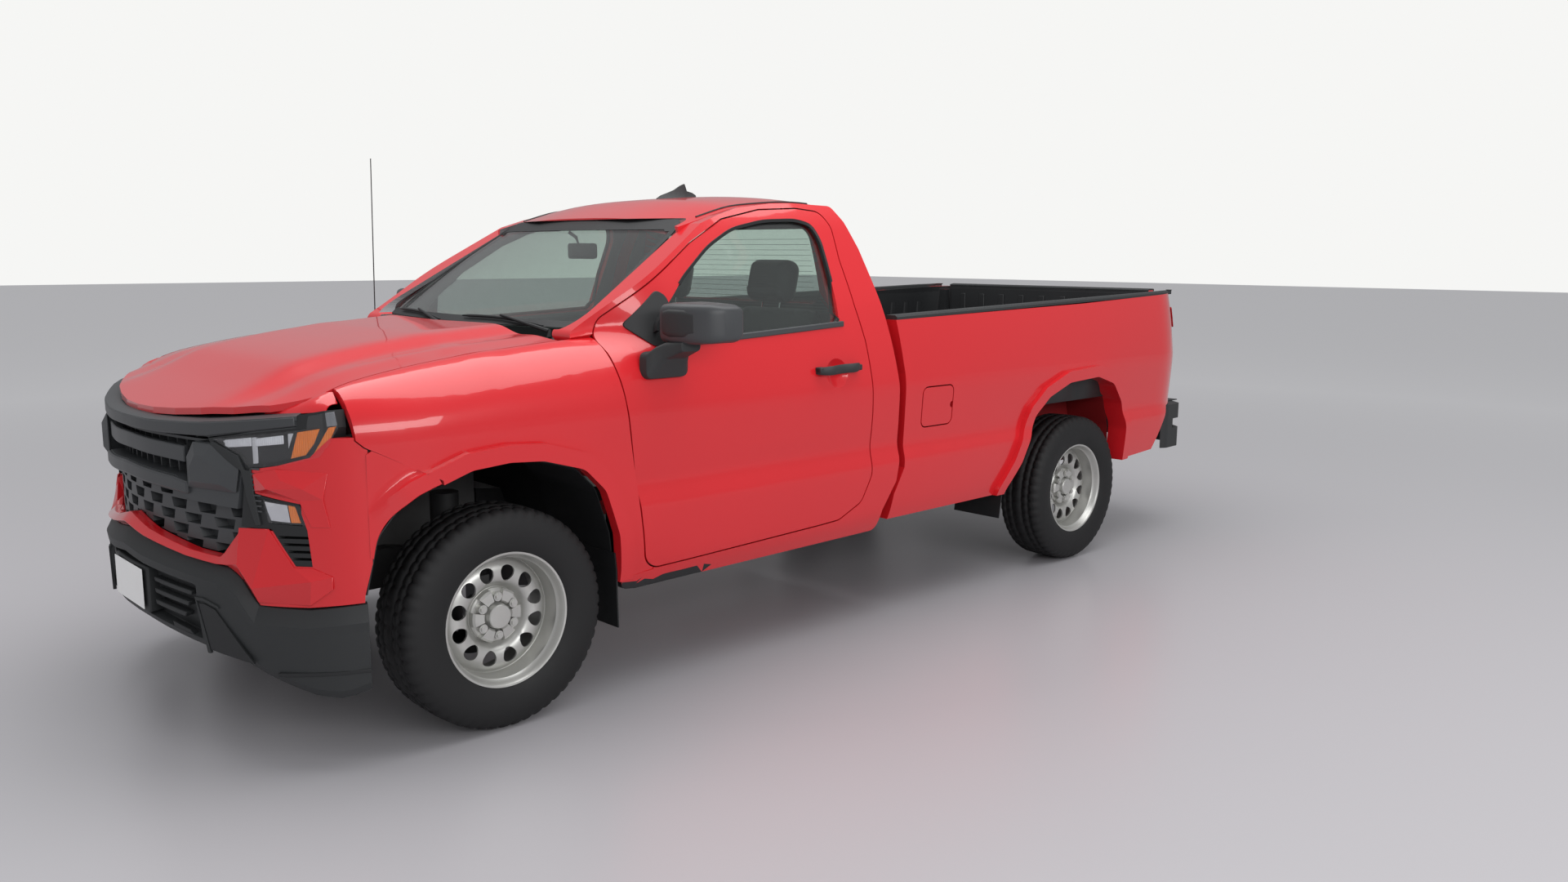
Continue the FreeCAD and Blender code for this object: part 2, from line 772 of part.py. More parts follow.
def make_spare_wheel():
    """Spare wheel lying flat below the rear of the bed."""
    top = level(bed_rail_top_shares[1]) - seat_gap
    x = along(spare_share)
    half_tyre = tyre_width * 0.45
    points = [
        (rim_radius, -half_tyre * 0.8), (tyre_radius * 0.93, -half_tyre), (tyre_radius * 0.93, half_tyre),
        (rim_radius, half_tyre * 0.8), (rim_radius, rim_wall), (0, rim_wall), (0, -rim_wall), (rim_radius, -rim_wall),
    ]
    wire = Part.makePolygon([V(r, 0, z) for r, z in points + points[:1]])
    solid = Part.Face(wire).revolve(V(0, 0, 0), V(0, 0, 1), 360)
    solid.translate(V(x, 0, top - half_tyre))
    return solid


tunnel_half_width = 170.0
tunnel_height = 110.0
tunnel_front_height = 215.0
toe_share = 0.1365
floor_level_share = 0.252
floor_thickness = 12.0
firewall_share = 0.098
firewall_thickness = 14.0
firewall_half_share = 0.760
cowl_level_share = 0.668
cowl_lap = 20.0
cowl_sheet = 5.0


def cab_face():
    """Outer face of the cab's left side, doors and pillars together."""
    return side_skin(cab_side, steps(along(0.085), along(0.60), 15), steps(level(0.19), level(1.0), 36))


def bed_face():
    """Outer face of the bed's left side."""
    return side_skin(bed_side, steps(along(0.55), along(1.87), 28), steps(level(0.19), level(0.76), 28))


def roof_face():
    """Outer face of the roof."""
    edge = across(roof_half_width_share)
    stations = steps(along(0.283), along(0.531), 13)
    return skin(lambda x, y: V(x, y, roof_height_at(x, y)), stations, steps(-edge, edge, 13))


def back_face():
    """Outer face of the cab's back wall."""
    wide = across(0.93)
    rows = steps(level(cab_back_shares[0][0]), level(cab_back_shares[-1][0]), 17)
    return skin(lambda y, z: V(along(curve(cab_back_shares, z / roof_height)), y, z), steps(-wide, wide, 5), rows)


def make_cab_shell():
    """Side frames, roof, floor, firewall and back wall of the cab as one welded shell."""
    face = cab_face()
    slab = face.extrude(V(0, -side_frame_depth, 0))
    frame = slab.common(side_prism(side_points(cab_outline_shares), 0, half_width + overrun, door_corner / 2))
    roof = roof_face().extrude(V(0, 0, -roof_thickness))
    back = back_face().extrude(V(cab_wall, 0, 0))
    wall_shares = [(-0.90, 0.250), (0.90, 0.250), (0.90, 0.690), (0.68, 0.968), (-0.68, 0.968), (-0.90, 0.690)]
    back = back.common(front_prism(front_points(wall_shares), along(0.62), along(0.48)))
    back = back.cut(front_prism(front_points(rear_window_shares), along(0.62), along(0.48), glass_corner))
    floor_z = level(floor_level_share)
    floor_half = across(0.90)
    toe_x, wall_x, back_x = along(toe_share), along(firewall_share), along(0.545)
    floor = block(back_x, toe_x, -floor_half, floor_half, floor_z, floor_z + floor_thickness)
    wall_half = across(firewall_half_share)
    cowl_z, knee_z, toe_z = level(cowl_level_share), level(0.530), level(0.325)
    sheet = firewall_thickness
    wall_points = [
        V(wall_x, 0, cowl_z), V(wall_x - sheet, 0, cowl_z), V(wall_x - sheet, 0, knee_z),
        V(toe_x - sheet, 0, toe_z), V(toe_x - sheet, 0, floor_z), V(toe_x, 0, floor_z),
        V(toe_x, 0, toe_z), V(wall_x, 0, knee_z),
    ]
    firewall = side_prism(wall_points, -wall_half, wall_half)
    tunnel_high = floor_z + tunnel_front_height
    tunnel_low = floor_z + tunnel_height
    tunnel_points = [
        V(wall_x, 0, floor_z), V(wall_x, 0, tunnel_high), V(along(0.345), 0, tunnel_low), V(back_x, 0, tunnel_low),
        V(back_x, 0, floor_z),
    ]
    hump = side_prism(tunnel_points, -tunnel_half_width, tunnel_half_width)
    shell = fused([frame, mirrored(frame), roof, back, floor, hump, firewall])
    clear_points = [
        V(wall_x + overrun, 0, floor_z - overrun), V(wall_x + overrun, 0, tunnel_high - floor_thickness),
        V(along(0.345), 0, tunnel_low - floor_thickness), V(back_x - overrun, 0, tunnel_low - floor_thickness),
        V(back_x - overrun, 0, floor_z - overrun),
    ]
    inner_half = tunnel_half_width - floor_thickness
    shell = shell.cut(side_prism(clear_points, -inner_half, inner_half))
    opening = face.extrude(V(0, -side_frame_depth - 1, 0)).common(
        side_prism(side_points(door_outline_shares), 0, half_width + overrun, door_corner, panel_gap))
    shell = shell.cut(opening).cut(mirrored(opening))
    striker = rod(striker_radius, striker_place(-striker_root), striker_place(striker_length))
    shell = fused([shell, striker, mirrored(striker)])
    fender_zone = fender_face()
    fender_zone.translate(V(0, -fender_skin - seat_gap, -fender_skin - seat_gap))
    ahead = side_prism(side_points(fender_outline_shares), 0, half_width + 4 * overrun)
    low_zone = fender_low_face()
    low_zone.translate(V(0, -fender_skin - seat_gap, 0))
    for zone in (fender_zone.extrude(V(0, 3 * overrun, 3 * overrun)), low_zone.extrude(V(0, 3 * overrun, 0))):
        zone = zone.common(ahead)
        shell = shell.cut(zone).cut(mirrored(zone))
    notch = cowl_face()
    notch.translate(V(0, 0, seat_gap))
    shell = shell.cut(notch.extrude(V(0, 0, -cowl_sheet - 2 * seat_gap)))
    rebate = windshield_slab(glass_thickness + 4, overrun).common(
        front_prism([V(0, p.y * 1.004, p.z) for p in front_points(glass_outline_shares)], along(0.40), along(0.05), glass_corner))
    return shell.cut(rebate)


def make_fixed_glass():
    """Windshield and rear window."""
    windshield = windshield_slab(glass_thickness).common(
        front_prism(front_points(glass_outline_shares), along(0.40), along(0.05), glass_corner))
    pane = outline(front_points(rear_window_shares), glass_corner).makeOffset2D(-seat_gap)
    pane.translate(V(along(0.62), 0, 0))
    layer = back_face()
    layer.translate(V(pane_inset, 0, 0))
    reach = V(along(0.48) - along(0.62), 0, 0)
    rear = layer.extrude(V(glass_thickness, 0, 0)).common(Part.Face(pane).extrude(reach))
    return Part.makeCompound([windshield, rear])


def striker_place(reach):
    """Point on the striker's line, at a distance ahead of the door opening's rear edge."""
    x = along(striker_station_share)
    return V(x - panel_gap + reach, cab_side(x, level(0.5)) - striker_inset, level(0.5))


def handle_dish():
    """Round finger recess behind the left door's handle."""
    x, z = along(handle_shares[0]), level(handle_shares[1])
    radius = (handle_dish_radius ** 2 + handle_dish_depth ** 2) / (2 * handle_dish_depth)
    return Part.makeSphere(radius, V(x, cab_side(x, z) + radius - handle_dish_depth, z))


def make_door(side):
    """Door: outer flange, thicker inner body, the window opening and the latch notch for the striker."""
    face = cab_face()
    keep = side_prism(side_points(door_outline_shares), 0, half_width + overrun, door_corner)
    window = side_prism(side_points(window_outline_shares), 0, half_width + overrun, door_corner / 2)
    belt = level(door_belt_share)
    below = block(along(0.60), along(0.10), 0, half_width + overrun, 0, belt)
    above = block(along(0.60), along(0.10), 0, half_width + overrun, belt, roof_height)
    outer = face.extrude(V(0, -door_flange_depth, 0)).common(keep)
    inside = side_prism(side_points(door_outline_shares), 0, half_width + overrun, door_corner, -door_flange_width)
    lower = face.extrude(V(0, -door_thickness, 0)).common(inside).common(below)
    upper = face.extrude(V(0, -door_frame_thickness, 0)).common(inside).common(above)
    high = striker_radius + seat_gap
    root, tip = striker_place(-striker_root), striker_place(striker_length + 2 * striker_radius)
    notch = block(root.x, tip.x, root.y - door_thickness, root.y, root.z - high, root.z + high)
    notch = fused([notch, rod(high, root, tip)])
    shape = fused([outer, lower, upper]).cut(window).cut(notch).cut(handle_dish())
    return shape if side > 0 else mirrored(shape)


def make_door_glass(side):
    """Side window, seated in the door's frame."""
    face = cab_face()
    face.translate(V(0, -pane_inset, 0))
    slab = face.extrude(V(0, -glass_thickness, 0))
    wire = outline(side_points(window_outline_shares), door_corner / 2).makeOffset2D(-seat_gap)
    shape = slab.common(Part.Face(wire).extrude(V(0, half_width + overrun, 0)))
    return shape if side > 0 else mirrored(shape)


mirror_reach = 1230.0
mirror_height = 235.0
mirror_depth = 110.0
mirror_width = 210.0
mirror_middle_share = 0.735
mirror_station_share = 0.202
handle_length = 236.0
handle_height = 30.0
handle_stand = 42.0
handle_shares = (0.460, 0.610)
handle_dish_radius = 62.0
handle_dish_depth = 15.0


def make_mirror(side):
    """Side mirror on its arm, and the pull handle, as the trim of one door."""
    x = along(mirror_station_share)
    z = level(mirror_middle_share)
    inner = mirror_reach - mirror_width
    points = [
        V(x - mirror_depth * 0.4, mirror_reach - 12, 0), V(x + mirror_depth * 0.1, mirror_reach, 0),
        V(x + mirror_depth * 0.6, mirror_reach - 40, 0), V(x + mirror_depth * 0.6, inner + 30, 0),
        V(x - mirror_depth * 0.4, inner, 0),
    ]
    head = plan_prism(points, z - mirror_height / 2, z + mirror_height / 2, 28.0)
    root_y = cab_side(x, level(0.690)) - door_thickness / 4
    arm_z = z - mirror_height / 2 - 6
    arm = block(x - 24, x + 36, root_y + seat_gap, inner + 60, arm_z, arm_z + 46)
    foot_face = cab_side(x, arm_z) - door_thickness / 4
    foot = block(x - 40, x + 52, foot_face, foot_face + door_thickness / 4 + 16, arm_z - 26, arm_z + 52)
    trim = fused([head, arm, foot])
    hx, hz = along(handle_shares[0]), level(handle_shares[1])
    body_y = cab_side(hx, hz)
    grip = [
        V(hx - handle_length / 2, body_y - handle_stand, 0), V(hx - handle_length / 2, body_y + 0.7 * handle_stand, 0),
        V(hx - handle_length / 4, body_y + handle_stand, 0), V(hx + handle_length / 4, body_y + handle_stand, 0),
        V(hx + handle_length / 2, body_y + 0.7 * handle_stand, 0), V(hx + handle_length / 2, body_y - handle_stand, 0),
        V(hx + 0.38 * handle_length, body_y - handle_stand, 0), V(hx + 0.3 * handle_length, body_y + 0.6 * handle_stand, 0),
        V(hx - 0.3 * handle_length, body_y + 0.6 * handle_stand, 0), V(hx - 0.38 * handle_length, body_y - handle_stand, 0),
    ]
    handle = plan_prism(grip, hz - handle_height / 2, hz + handle_height / 2)
    inside = cab_face()
    inside.translate(V(0, seat_gap, 0))
    inside = inside.extrude(V(0, -3 * door_thickness, 0))
    shape = Part.makeCompound([trim.cut(inside), handle.cut(inside)])
    return shape if side > 0 else mirrored(shape)


# Plan curve of the nose: shares of the front overhang by shares of the half width
nose_plan_shares = [
    (0.970, 0.000), (0.962, 0.150), (0.936, 0.300), (0.898, 0.449), (0.840, 0.598), (0.768, 0.738),
    (0.680, 0.847), (0.603, 0.917), (0.510, 0.962),
]
hood_lead_back = 48.0
hood_thickness = 22.0
hood_back_share = 0.079
hood_back_sweep = 55.0
hood_side_share = 0.8155
hood_pin_station_share = 0.0905
hood_pin_radius = 5.0
hood_pin_depth = 20.0
hood_pin_reach = 34.0
pin_clearance = 0.3
lamp_depth = 130.0
lamp_gap = 3.0
band_depth = 36.0
backing_top_share = 0.560
grille_recess = 70.0
grille_bar_depth = 46.0
bumper_proud = (1 - nose_plan_shares[0][0]) * front_overhang
bumper_thickness = 34.0


def nose_curve(inset, reach_share=0.962):
    """Plan curve of the nose at z = 0, moved inwards by inset, as points from right to left."""
    points = [V(front_axle_x + a * front_overhang, across(b), 0) for a, b in nose_plan_shares if b <= reach_share]
    moved = []
    for index, point in enumerate(points):
        before = points[index - 1] if index else V(point.x, -across(0.15), 0)
        after = points[index + 1] if index + 1 < len(points) else point + (point - before)
        tangent = (after - before).normalize()
        moved.append(point - V(tangent.y, -tangent.x, 0) * inset)
    others = [V(p.x, -p.y, 0) for p in reversed(moved[1:])]
    return others + moved


def nose_band(outer_inset, inner_inset, reach_share=0.962):
    """Curved wall between two insets of the nose curve, from the floor to the roof's height."""
    front = Part.BSplineCurve()
    front.interpolate(nose_curve(outer_inset, reach_share))
    back = Part.BSplineCurve()
    back.interpolate(nose_curve(inner_inset, reach_share))
    a, b = front.toShape(), back.toShape()
    ends = [
        Part.makeLine(a.valueAt(a.FirstParameter), b.valueAt(b.FirstParameter)),
        Part.makeLine(a.valueAt(a.LastParameter), b.valueAt(b.LastParameter)),
    ]
    face = Part.Face(Part.Wire(Part.__sortEdges__([a, b] + ends)))
    return face.extrude(V(0, 0, roof_height))


def front_cut(shares, radius=0.0):
    """Prism along the truck from a front view outline, over the nose."""
    return front_prism(front_points(shares), front_axle_x, nose_x + overrun, radius)


def symmetric(shares):
    """Front view outline closed over its mirror image; shares run from the middle outwards and back."""
    return shares + [(-a, b) for a, b in reversed(shares)]


def hood_pin_place():
    """Tip of the left hinge pin, on the hood's hinge line."""
    x, y = along(hood_pin_station_share), across(hood_side_share) - hood_pin_depth
    return V(x, y, hood_height(x, across(hood_side_share)) - hood_thickness / 2)


def make_hood():
    """Hood panel between the fenders, with its raised middle and the bores of its two hinge pins."""
    stations = steps(along(-0.97), along(0.11), 17)
    edge = across(0.86)
    face = skin(lambda x, y: V(x, y, hood_height(x, y)), stations, steps(-edge, edge, 19))
    slab = face.extrude(V(0, 0, -hood_thickness))
    lead = [p for p in nose_curve(hood_lead_back) if abs(p.y) < across(0.80)]
    side = across(hood_side_share)
    back = along(hood_back_share)
    points = lead + [
        V(front_axle_x + 0.60 * front_overhang, side, 0),
        V(back - hood_back_sweep, side, 0), V(back, 0, 0), V(back - hood_back_sweep, -side, 0),
        V(front_axle_x + 0.60 * front_overhang, -side, 0),
    ]
    tip = hood_pin_place() - V(0, 2 * hood_pin_radius, 0)
    bore = rod(hood_pin_radius + pin_clearance, tip, tip + V(0, half_width, 0))
    return slab.common(plan_prism(points, 0, roof_height)).cut(both_sides(bore))


def make_front_fenders():
    """Both front fenders with their flares and the hood's hinge pins."""
    slab = fender_face().extrude(V(0, -fender_skin, -fender_skin))
    keep = side_prism(side_points(fender_outline_shares), across(cut_line_share), half_width + overrun)
    keep = keep.cut(side_prism(side_points(door_outline_shares), 0, half_width + overrun, door_corner, panel_gap))
    bands = flare(fender_low_face(), front_axle_x, front_arch_shares, fender_skin)
    arch = side_prism(arch_points(front_axle_x, front_arch_shares), 0, half_width + overrun, arch_round)
    pin_end = hood_pin_place()
    pin = rod(hood_pin_radius, pin_end, pin_end + V(0, hood_pin_reach, 0))
    shape = fused([slab.common(keep).cut(arch), bands.common(keep).cut(arch), pin])
    return both_sides(shape)


def fender_place(x, t):
    """Point of the fender from its lower edge to the hood's cut line, by a share of its girth."""
    cut = across(cut_line_share)
    shoulder = level(fender_shoulder_share)
    low = level(0.20)
    if t <= 0.6:
        z = low + (shoulder - low) * t / 0.6
        return V(x, fender_side(x, z), z)
    top = hood_height(x, cut)
    wide = fender_side(x, shoulder)
    turn = (t - 0.6) / 0.4 * math.pi / 2
    rise = math.sin(turn) ** 0.9
    inward = 1 - math.cos(turn) ** 1.25
    return V(x, wide - (wide - min(wide - 1, cut)) * inward, shoulder + (top - shoulder) * rise)


def fender_face():
    """Outer face of the left fender, from its lower edge to the hood's cut line."""
    return skin(fender_place, steps(along(-0.60), along(0.19), 16), steps(0.0, 1.0, 21))


def fender_low_face():
    return side_skin(fender_side, steps(along(-0.66), along(0.19), 16), steps(level(0.20), level(0.56), 13))


liner_inner = 560.0
liner_thickness = 4.0
flap_thickness = 6.0
flap_outer = 985.0
front_flap_inner = 790.0
front_flap_shares = (0.139, 0.290)
rear_flap_inner = 700.0
rear_flap_shares = (0.172, 0.300)


def mud_flap(axle_x, shares, inner, levels, station):
    """Flap that follows one edge of a left wheel arch, between two levels, on the side of station."""
    outer = side_prism(arch_points(axle_x, shares, -1 - seat_gap), inner, flap_outer, arch_round)
    hollow = side_prism(
        arch_points(axle_x, shares, -1 - seat_gap - flap_thickness), inner - overrun, flap_outer + overrun, arch_round)
    keep = block(axle_x, station, inner, flap_outer, level(levels[0]), level(levels[1]))
    return outer.cut(hollow).common(keep)


def make_front_liner(side):
    """Liner of one front wheelhouse with its mud flap."""
    outer = side_prism(arch_points(front_axle_x, front_arch_shares, -1), liner_inner, half_width - fender_skin - 24, arch_round)
    inner = side_prism(arch_points(front_axle_x, front_arch_shares, -1 - liner_thickness), liner_inner - overrun, half_width + overrun, arch_round)
    shell = outer.cut(inner)
    low_cut = block(along(-0.9), along(0.3), 0, half_width + overrun, 0, tyre_radius * 1.02)
    fascia_cut = block(front_axle_x + 0.50 * front_overhang, nose_x, 0, half_width + overrun, 0, level(0.30))
    flap = mud_flap(front_axle_x, front_arch_shares, front_flap_inner, front_flap_shares, along(0.20))
    shape = fused([shell.cut(low_cut).cut(fascia_cut), flap])
    return shape if side > 0 else mirrored(shape)


def make_rear_flaps():
    """Mud flaps ahead of the rear wheels."""
    return both_sides(mud_flap(rear_axle_x, rear_arch_shares, rear_flap_inner, rear_flap_shares, along(0.70)))


# Front view outlines of the nose pieces, from the middle outwards, in half width and level shares
red_band_shares = [
    (0.000, 0.394), (0.165, 0.375), (0.420, 0.357), (0.557, 0.353), (0.649, 0.408), (0.985, 0.408),
    (0.985, 0.289), (0.845, 0.280), (0.700, 0.279), (0.640, 0.325), (0.593, 0.340), (0.160, 0.358),
    (0.000, 0.368),
]
red_arm_shares = [
    (0.690, 0.508), (0.780, 0.520), (0.864, 0.533), (0.910, 0.565), (0.985, 0.565), (0.985, 0.405),
    (0.836, 0.405), (0.836, 0.455), (0.706, 0.470),
]
bumper_shares = [
    (0.000, 0.366), (0.160, 0.356), (0.593, 0.338), (0.638, 0.323), (0.698, 0.276), (0.845, 0.277),
    (0.985, 0.286),
    (0.985, 0.140), (0.920, 0.122), (0.851, 0.127), (0.799, 0.139), (0.628, 0.176), (0.459, 0.189),
    (0.126, 0.207), (0.000, 0.208),
]
vent_top_share, vent_low_share = 0.411, 0.350
vent_inner_shares, vent_outer_shares = (0.750, 0.812), (0.848, 0.856)
side_panel_shares = [(0.472, 0.264), (0.556, 0.255), (0.706, 0.168), (0.520, 0.186)]
panel_recess = 9.0
lamp_shares = [
    (0.533, 0.556), (0.833, 0.581), (0.837, 0.602), (0.900, 0.610), (0.903, 0.581), (0.885, 0.556),
    (0.864, 0.533), (0.779, 0.518), (0.692, 0.509), (0.702, 0.468), (0.828, 0.455),
    (vent_outer_shares[0], vent_top_share), (vent_outer_shares[1], vent_low_share),
    (vent_inner_shares[1], vent_low_share), (vent_inner_shares[0], vent_top_share), (0.645, 0.411), (0.672, 0.508),
    (0.545, 0.541),
]
main_lens_shares = [
    (0.560, 0.553), (0.826, 0.576), (0.890, 0.583), (0.874, 0.556), (0.853, 0.537), (0.779, 0.524),
    (0.682, 0.516), (0.655, 0.534),
]
low_lens_shares = [(0.730, 0.461), (0.818, 0.452), (0.834, 0.418), (0.745, 0.421)]
lens_recess = 7.0
vent_slot_shares = (0.396, 0.384, 0.372, 0.360)
vent_slot_height = 9.0
vent_slot_depth = 30.0
grille_shares = [
    (0.000, 0.576), (0.240, 0.576), (0.529, 0.583), (0.833, 0.600), (0.833, 0.583), (0.533, 0.557),
    (0.540, 0.540), (0.670, 0.508), (0.640, 0.412), (0.557, 0.355), (0.420, 0.359), (0.165, 0.377),
    (0.000, 0.396),
]
band_shares = [(0.000, 0.576), (0.240, 0.576), (0.529, 0.583), (0.833, 0.600), (0.833, 0.584), (0.533, 0.558), (0.0, 0.555)]
middle_bar_shares = [(0.000, 0.492), (0.355, 0.484), (0.440, 0.472), (0.440, 0.520), (0.470, 0.548), (0.560, 0.548), (0.660, 0.507), (0.630, 0.440), (0.430, 0.445), (0.355, 0.455), (0.000, 0.463)]
lattice_rows_shares = (0.460, 0.438, 0.416, 0.394, 0.372, 0.350)
lattice_bar_height = 9.0
lattice_pitch = 152.0
lattice_foot_share = 0.52
lattice_crown_share = 0.38
lattice_reach_share = 0.66
bar_rows_shares = (0.545, 0.512)
rib_pitch = 58.0
rib_width = 7.0
rib_rows_shares = (0.480, 0.565)
rib_reach_share = 0.52


def make_front_fascia():
    """Painted lower nose: the band under the grille and the arms between the lamps."""
    band = nose_band(0, bumper_thickness)
    keep = front_cut(symmetric(red_band_shares))
    arm = front_cut(red_arm_shares)
    shape = band.common(keep)
    arms = band.common(arm)
    shape = fused([shape, arms, mirrored(arms)])
    arch = side_prism(arch_points(front_axle_x, front_arch_shares), -half_width - overrun, half_width + overrun, arch_round)
    fender = side_prism(side_points(fender_outline_shares), -2 * half_width, 2 * half_width, 0.0, lamp_gap)
    lamp = prism(front_points(lamp_shares), V(front_axle_x, 0, 0), V(2 * front_overhang, 0, 0), 0.0, seat_gap)
    return shape.cut(arch).cut(fender).cut(lamp).cut(mirrored(lamp))


def make_front_bumper():
    """Black lower bumper with its plate seat, lower opening and air dam."""
    band = nose_band(-bumper_proud, bumper_thickness)
    shape = band.common(front_cut(symmetric(bumper_shares)))
    opening_shares = [(0.200, 0.290), (0.400, 0.280), (0.440, 0.225), (0.240, 0.235)]
    opening = front_cut(opening_shares)
    shape = shape.cut(opening).cut(mirrored(opening))
    panel = nose_band(-bumper_proud - panel_recess, panel_recess - bumper_proud).common(front_cut(side_panel_shares))
    shape = shape.cut(panel).cut(mirrored(panel))
    arch = side_prism(arch_points(front_axle_x, front_arch_shares), -half_width - overrun, half_width + overrun, arch_round)
    return shape.cut(arch)


def make_headlamps():
    """Main and lower lamps of both sides in their bezels, with the slatted vents below them."""
    band = nose_band(2, lamp_depth)
    shape = band.common(front_cut(lamp_shares))
    skin_layer = nose_band(-lens_recess, 2 + lens_recess)
    for lens_shares in (main_lens_shares, low_lens_shares):
        shape = shape.cut(skin_layer.common(front_cut(lens_shares)))
    slots = []
    for share in vent_slot_shares:
        low = level(share)
        slant = (vent_top_share - share) / (vent_top_share - vent_low_share)
        inner = across(vent_inner_shares[0] + (vent_inner_shares[1] - vent_inner_shares[0]) * slant)
        outer = across(vent_outer_shares[0] + (vent_outer_shares[1] - vent_outer_shares[0]) * slant)
        slots.append(block(front_axle_x, nose_x, inner, outer, low, low + vent_slot_height))
    shape = shape.cut(nose_band(-lens_recess, vent_slot_depth).common(Part.makeCompound(slots)))
    fender = side_prism(side_points(fender_outline_shares), 0, half_width + overrun, 0.0, lamp_gap)
    arch = side_prism(arch_points(front_axle_x, front_arch_shares), 0, half_width + overrun, arch_round)
    return both_sides(shape.cut(fender).cut(arch))


def lattice_blocks():
    """Tapered blocks of the lattice, each row set half a pitch aside from the row above."""
    blocks = []
    reach = across(lattice_reach_share)
    for index in range(len(lattice_rows_shares) - 1):
        high, low = level(lattice_rows_shares[index]) + 1, level(lattice_rows_shares[index + 1]) + lattice_bar_height - 1
        start = 0.5 * lattice_pitch * (index % 2)
        count = int((reach - start) / lattice_pitch)
        for turn in range(-count, count + 1):
            for side in {1 if turn >= 0 else -1, 1 if turn > 0 else -1}:
                y = turn * lattice_pitch + side * start
                foot, crown = 0.5 * lattice_foot_share * lattice_pitch, 0.5 * lattice_crown_share * lattice_pitch
                points = [V(0, y - foot, low), V(0, y + foot, low), V(0, y + crown, high), V(0, y - crown, high)]
                blocks.append(front_prism(points, front_axle_x, nose_x + overrun))
    return blocks


def recess_ribs():
    """Thin upright ribs of the recess above the crossing bar."""
    low, high = level(rib_rows_shares[0]), level(rib_rows_shares[1])
    count = int(across(rib_reach_share) / rib_pitch)
    ribs = []
    for turn in range(-count, count + 1):
        y = turn * rib_pitch
        ribs.append(block(front_axle_x, nose_x + overrun, y - rib_width / 2, y + rib_width / 2, low, high))
    return ribs


def make_grille():
    """Grille: backing, upper band, crossing bar, ribbed recess above and a lattice of staggered cells below."""
    backing = nose_band(grille_recess, grille_recess + 12, 0.85).common(front_cut(symmetric(grille_shares)))
    low = block(front_axle_x, nose_x, -half_width, half_width, 0, level(backing_top_share))
    backing = backing.common(low)
    face = nose_band(4, 4 + band_depth, 0.85)
    pieces = [backing]
    deep_face = nose_band(4, grille_recess + 6, 0.85)
    pieces.append(face.common(front_cut(symmetric(band_shares))))
    pieces.append(deep_face.common(front_cut(symmetric(middle_bar_shares))))
    region = front_cut(symmetric(grille_shares))
    deep = nose_band(0.5 * grille_recess, grille_recess + 6, 0.85)
    for share in bar_rows_shares + lattice_rows_shares:
        row = front_prism([
            V(0, -across(0.62), level(share)), V(0, across(0.62), level(share)),
            V(0, across(0.62), level(share) + lattice_bar_height), V(0, -across(0.62), level(share) + lattice_bar_height),
        ], front_axle_x, nose_x + overrun)
        pieces.append(deep.common(row).common(region))
    pieces.append(deep.common(Part.makeCompound(lattice_blocks())).common(region))
    rib_layer = nose_band(0.7 * grille_recess, grille_recess + 6, 0.85)
    pieces.append(rib_layer.common(Part.makeCompound(recess_ribs())).common(region))
    lamp = prism(front_points(lamp_shares), V(front_axle_x, 0, 0), V(front_overhang, 0, 0), 0.0, 1.0)
    return fused(pieces).cut(lamp).cut(mirrored(lamp))


radiator_half_width = 478.0
front_rail_top_share = 0.309
radiator_thickness = 60.0
radiator_share = 0.62


def make_radiator():
    """Radiator and its support behind the grille."""
    x = front_axle_x + radiator_share * front_overhang
    low = level(front_rail_top_share) + seat_gap
    return block(x - radiator_thickness, x, -radiator_half_width, radiator_half_width, low, level(0.56))


def gate_pin(start, end, radius):
    """Length of the left hinge pin of the tailgate, or of its bore."""
    x, z = along(tailgate_share) + gate_pin_inset, tailgate_bottom + gate_pin_inset
    return rod(radius, V(x, start, z), V(x, end, z))


def rear_post(grow):
    """Left post beside the tailgate, grown on its inner faces where asked."""
    gate = along(tailgate_share)
    return block(
        gate, gate + 1.6 * tailgate_thickness + grow, tailgate_half_width + panel_gap - grow, across(0.90) - 8,
        tailgate_bottom - 20 - grow, level(0.735),
    )


def fuel_pocket_floor():
    """y of the floor of the fuel door's pocket."""
    return bed_side(along(0.65), level(0.5)) - fuel_pocket_depth


def make_bed_sides():
    """Outer walls of the bed with their flares, the rear posts and the pocket of the fuel door."""
    face = bed_face()
    slab = face.extrude(V(0, -bed_wall, 0))
    keep = side_prism(side_points(bed_outline_shares), 0, half_width + overrun)
    band = flare(face, rear_axle_x, rear_arch_shares, bed_wall).common(keep)
    arch = side_prism(arch_points(rear_axle_x, rear_arch_shares), 0, half_width + overrun, arch_round)
    pin = gate_pin(tailgate_half_width - gate_pin_depth, tailgate_half_width + 3 * panel_gap, gate_pin_radius)
    post = rear_post(0.0).common(face.extrude(V(0, -3 * bed_wall, 0)))
    shape = fused([slab.common(keep), band, post, pin]).cut(arch)
    left = shape.cut(tail_lamp_zone(tail_lamp_depth + seat_gap, lamp_gap))
    right = mirrored(left)
    wire = outline(side_points(fuel_door_shares), fuel_door_corner).makeOffset2D(panel_gap)
    wire.translate(V(0, fuel_pocket_floor(), 0))
    left = left.cut(Part.Face(wire).extrude(V(0, fuel_pocket_depth + overrun, 0)))
    return Part.makeCompound([left, right])


tail_lamp_depth = 70.0
tail_lamp_shares = [(1.765, 0.480), (1.765, 0.708), (1.90, 0.708), (1.90, 0.480)]
tail_block_shares = [(1.794, 0.640), (1.794, 0.702), (1.837, 0.702), (1.837, 0.640)]
tail_block_proud = 13.0


def tail_lamp_zone(depth, grow):
    """Corner of the left bed side that the tail lamp takes, to a depth."""
    slab = bed_face().extrude(V(0, -depth, 0))
    return slab.common(side_prism(side_points(tail_lamp_shares), 0, half_width + overrun, 0.0, grow))


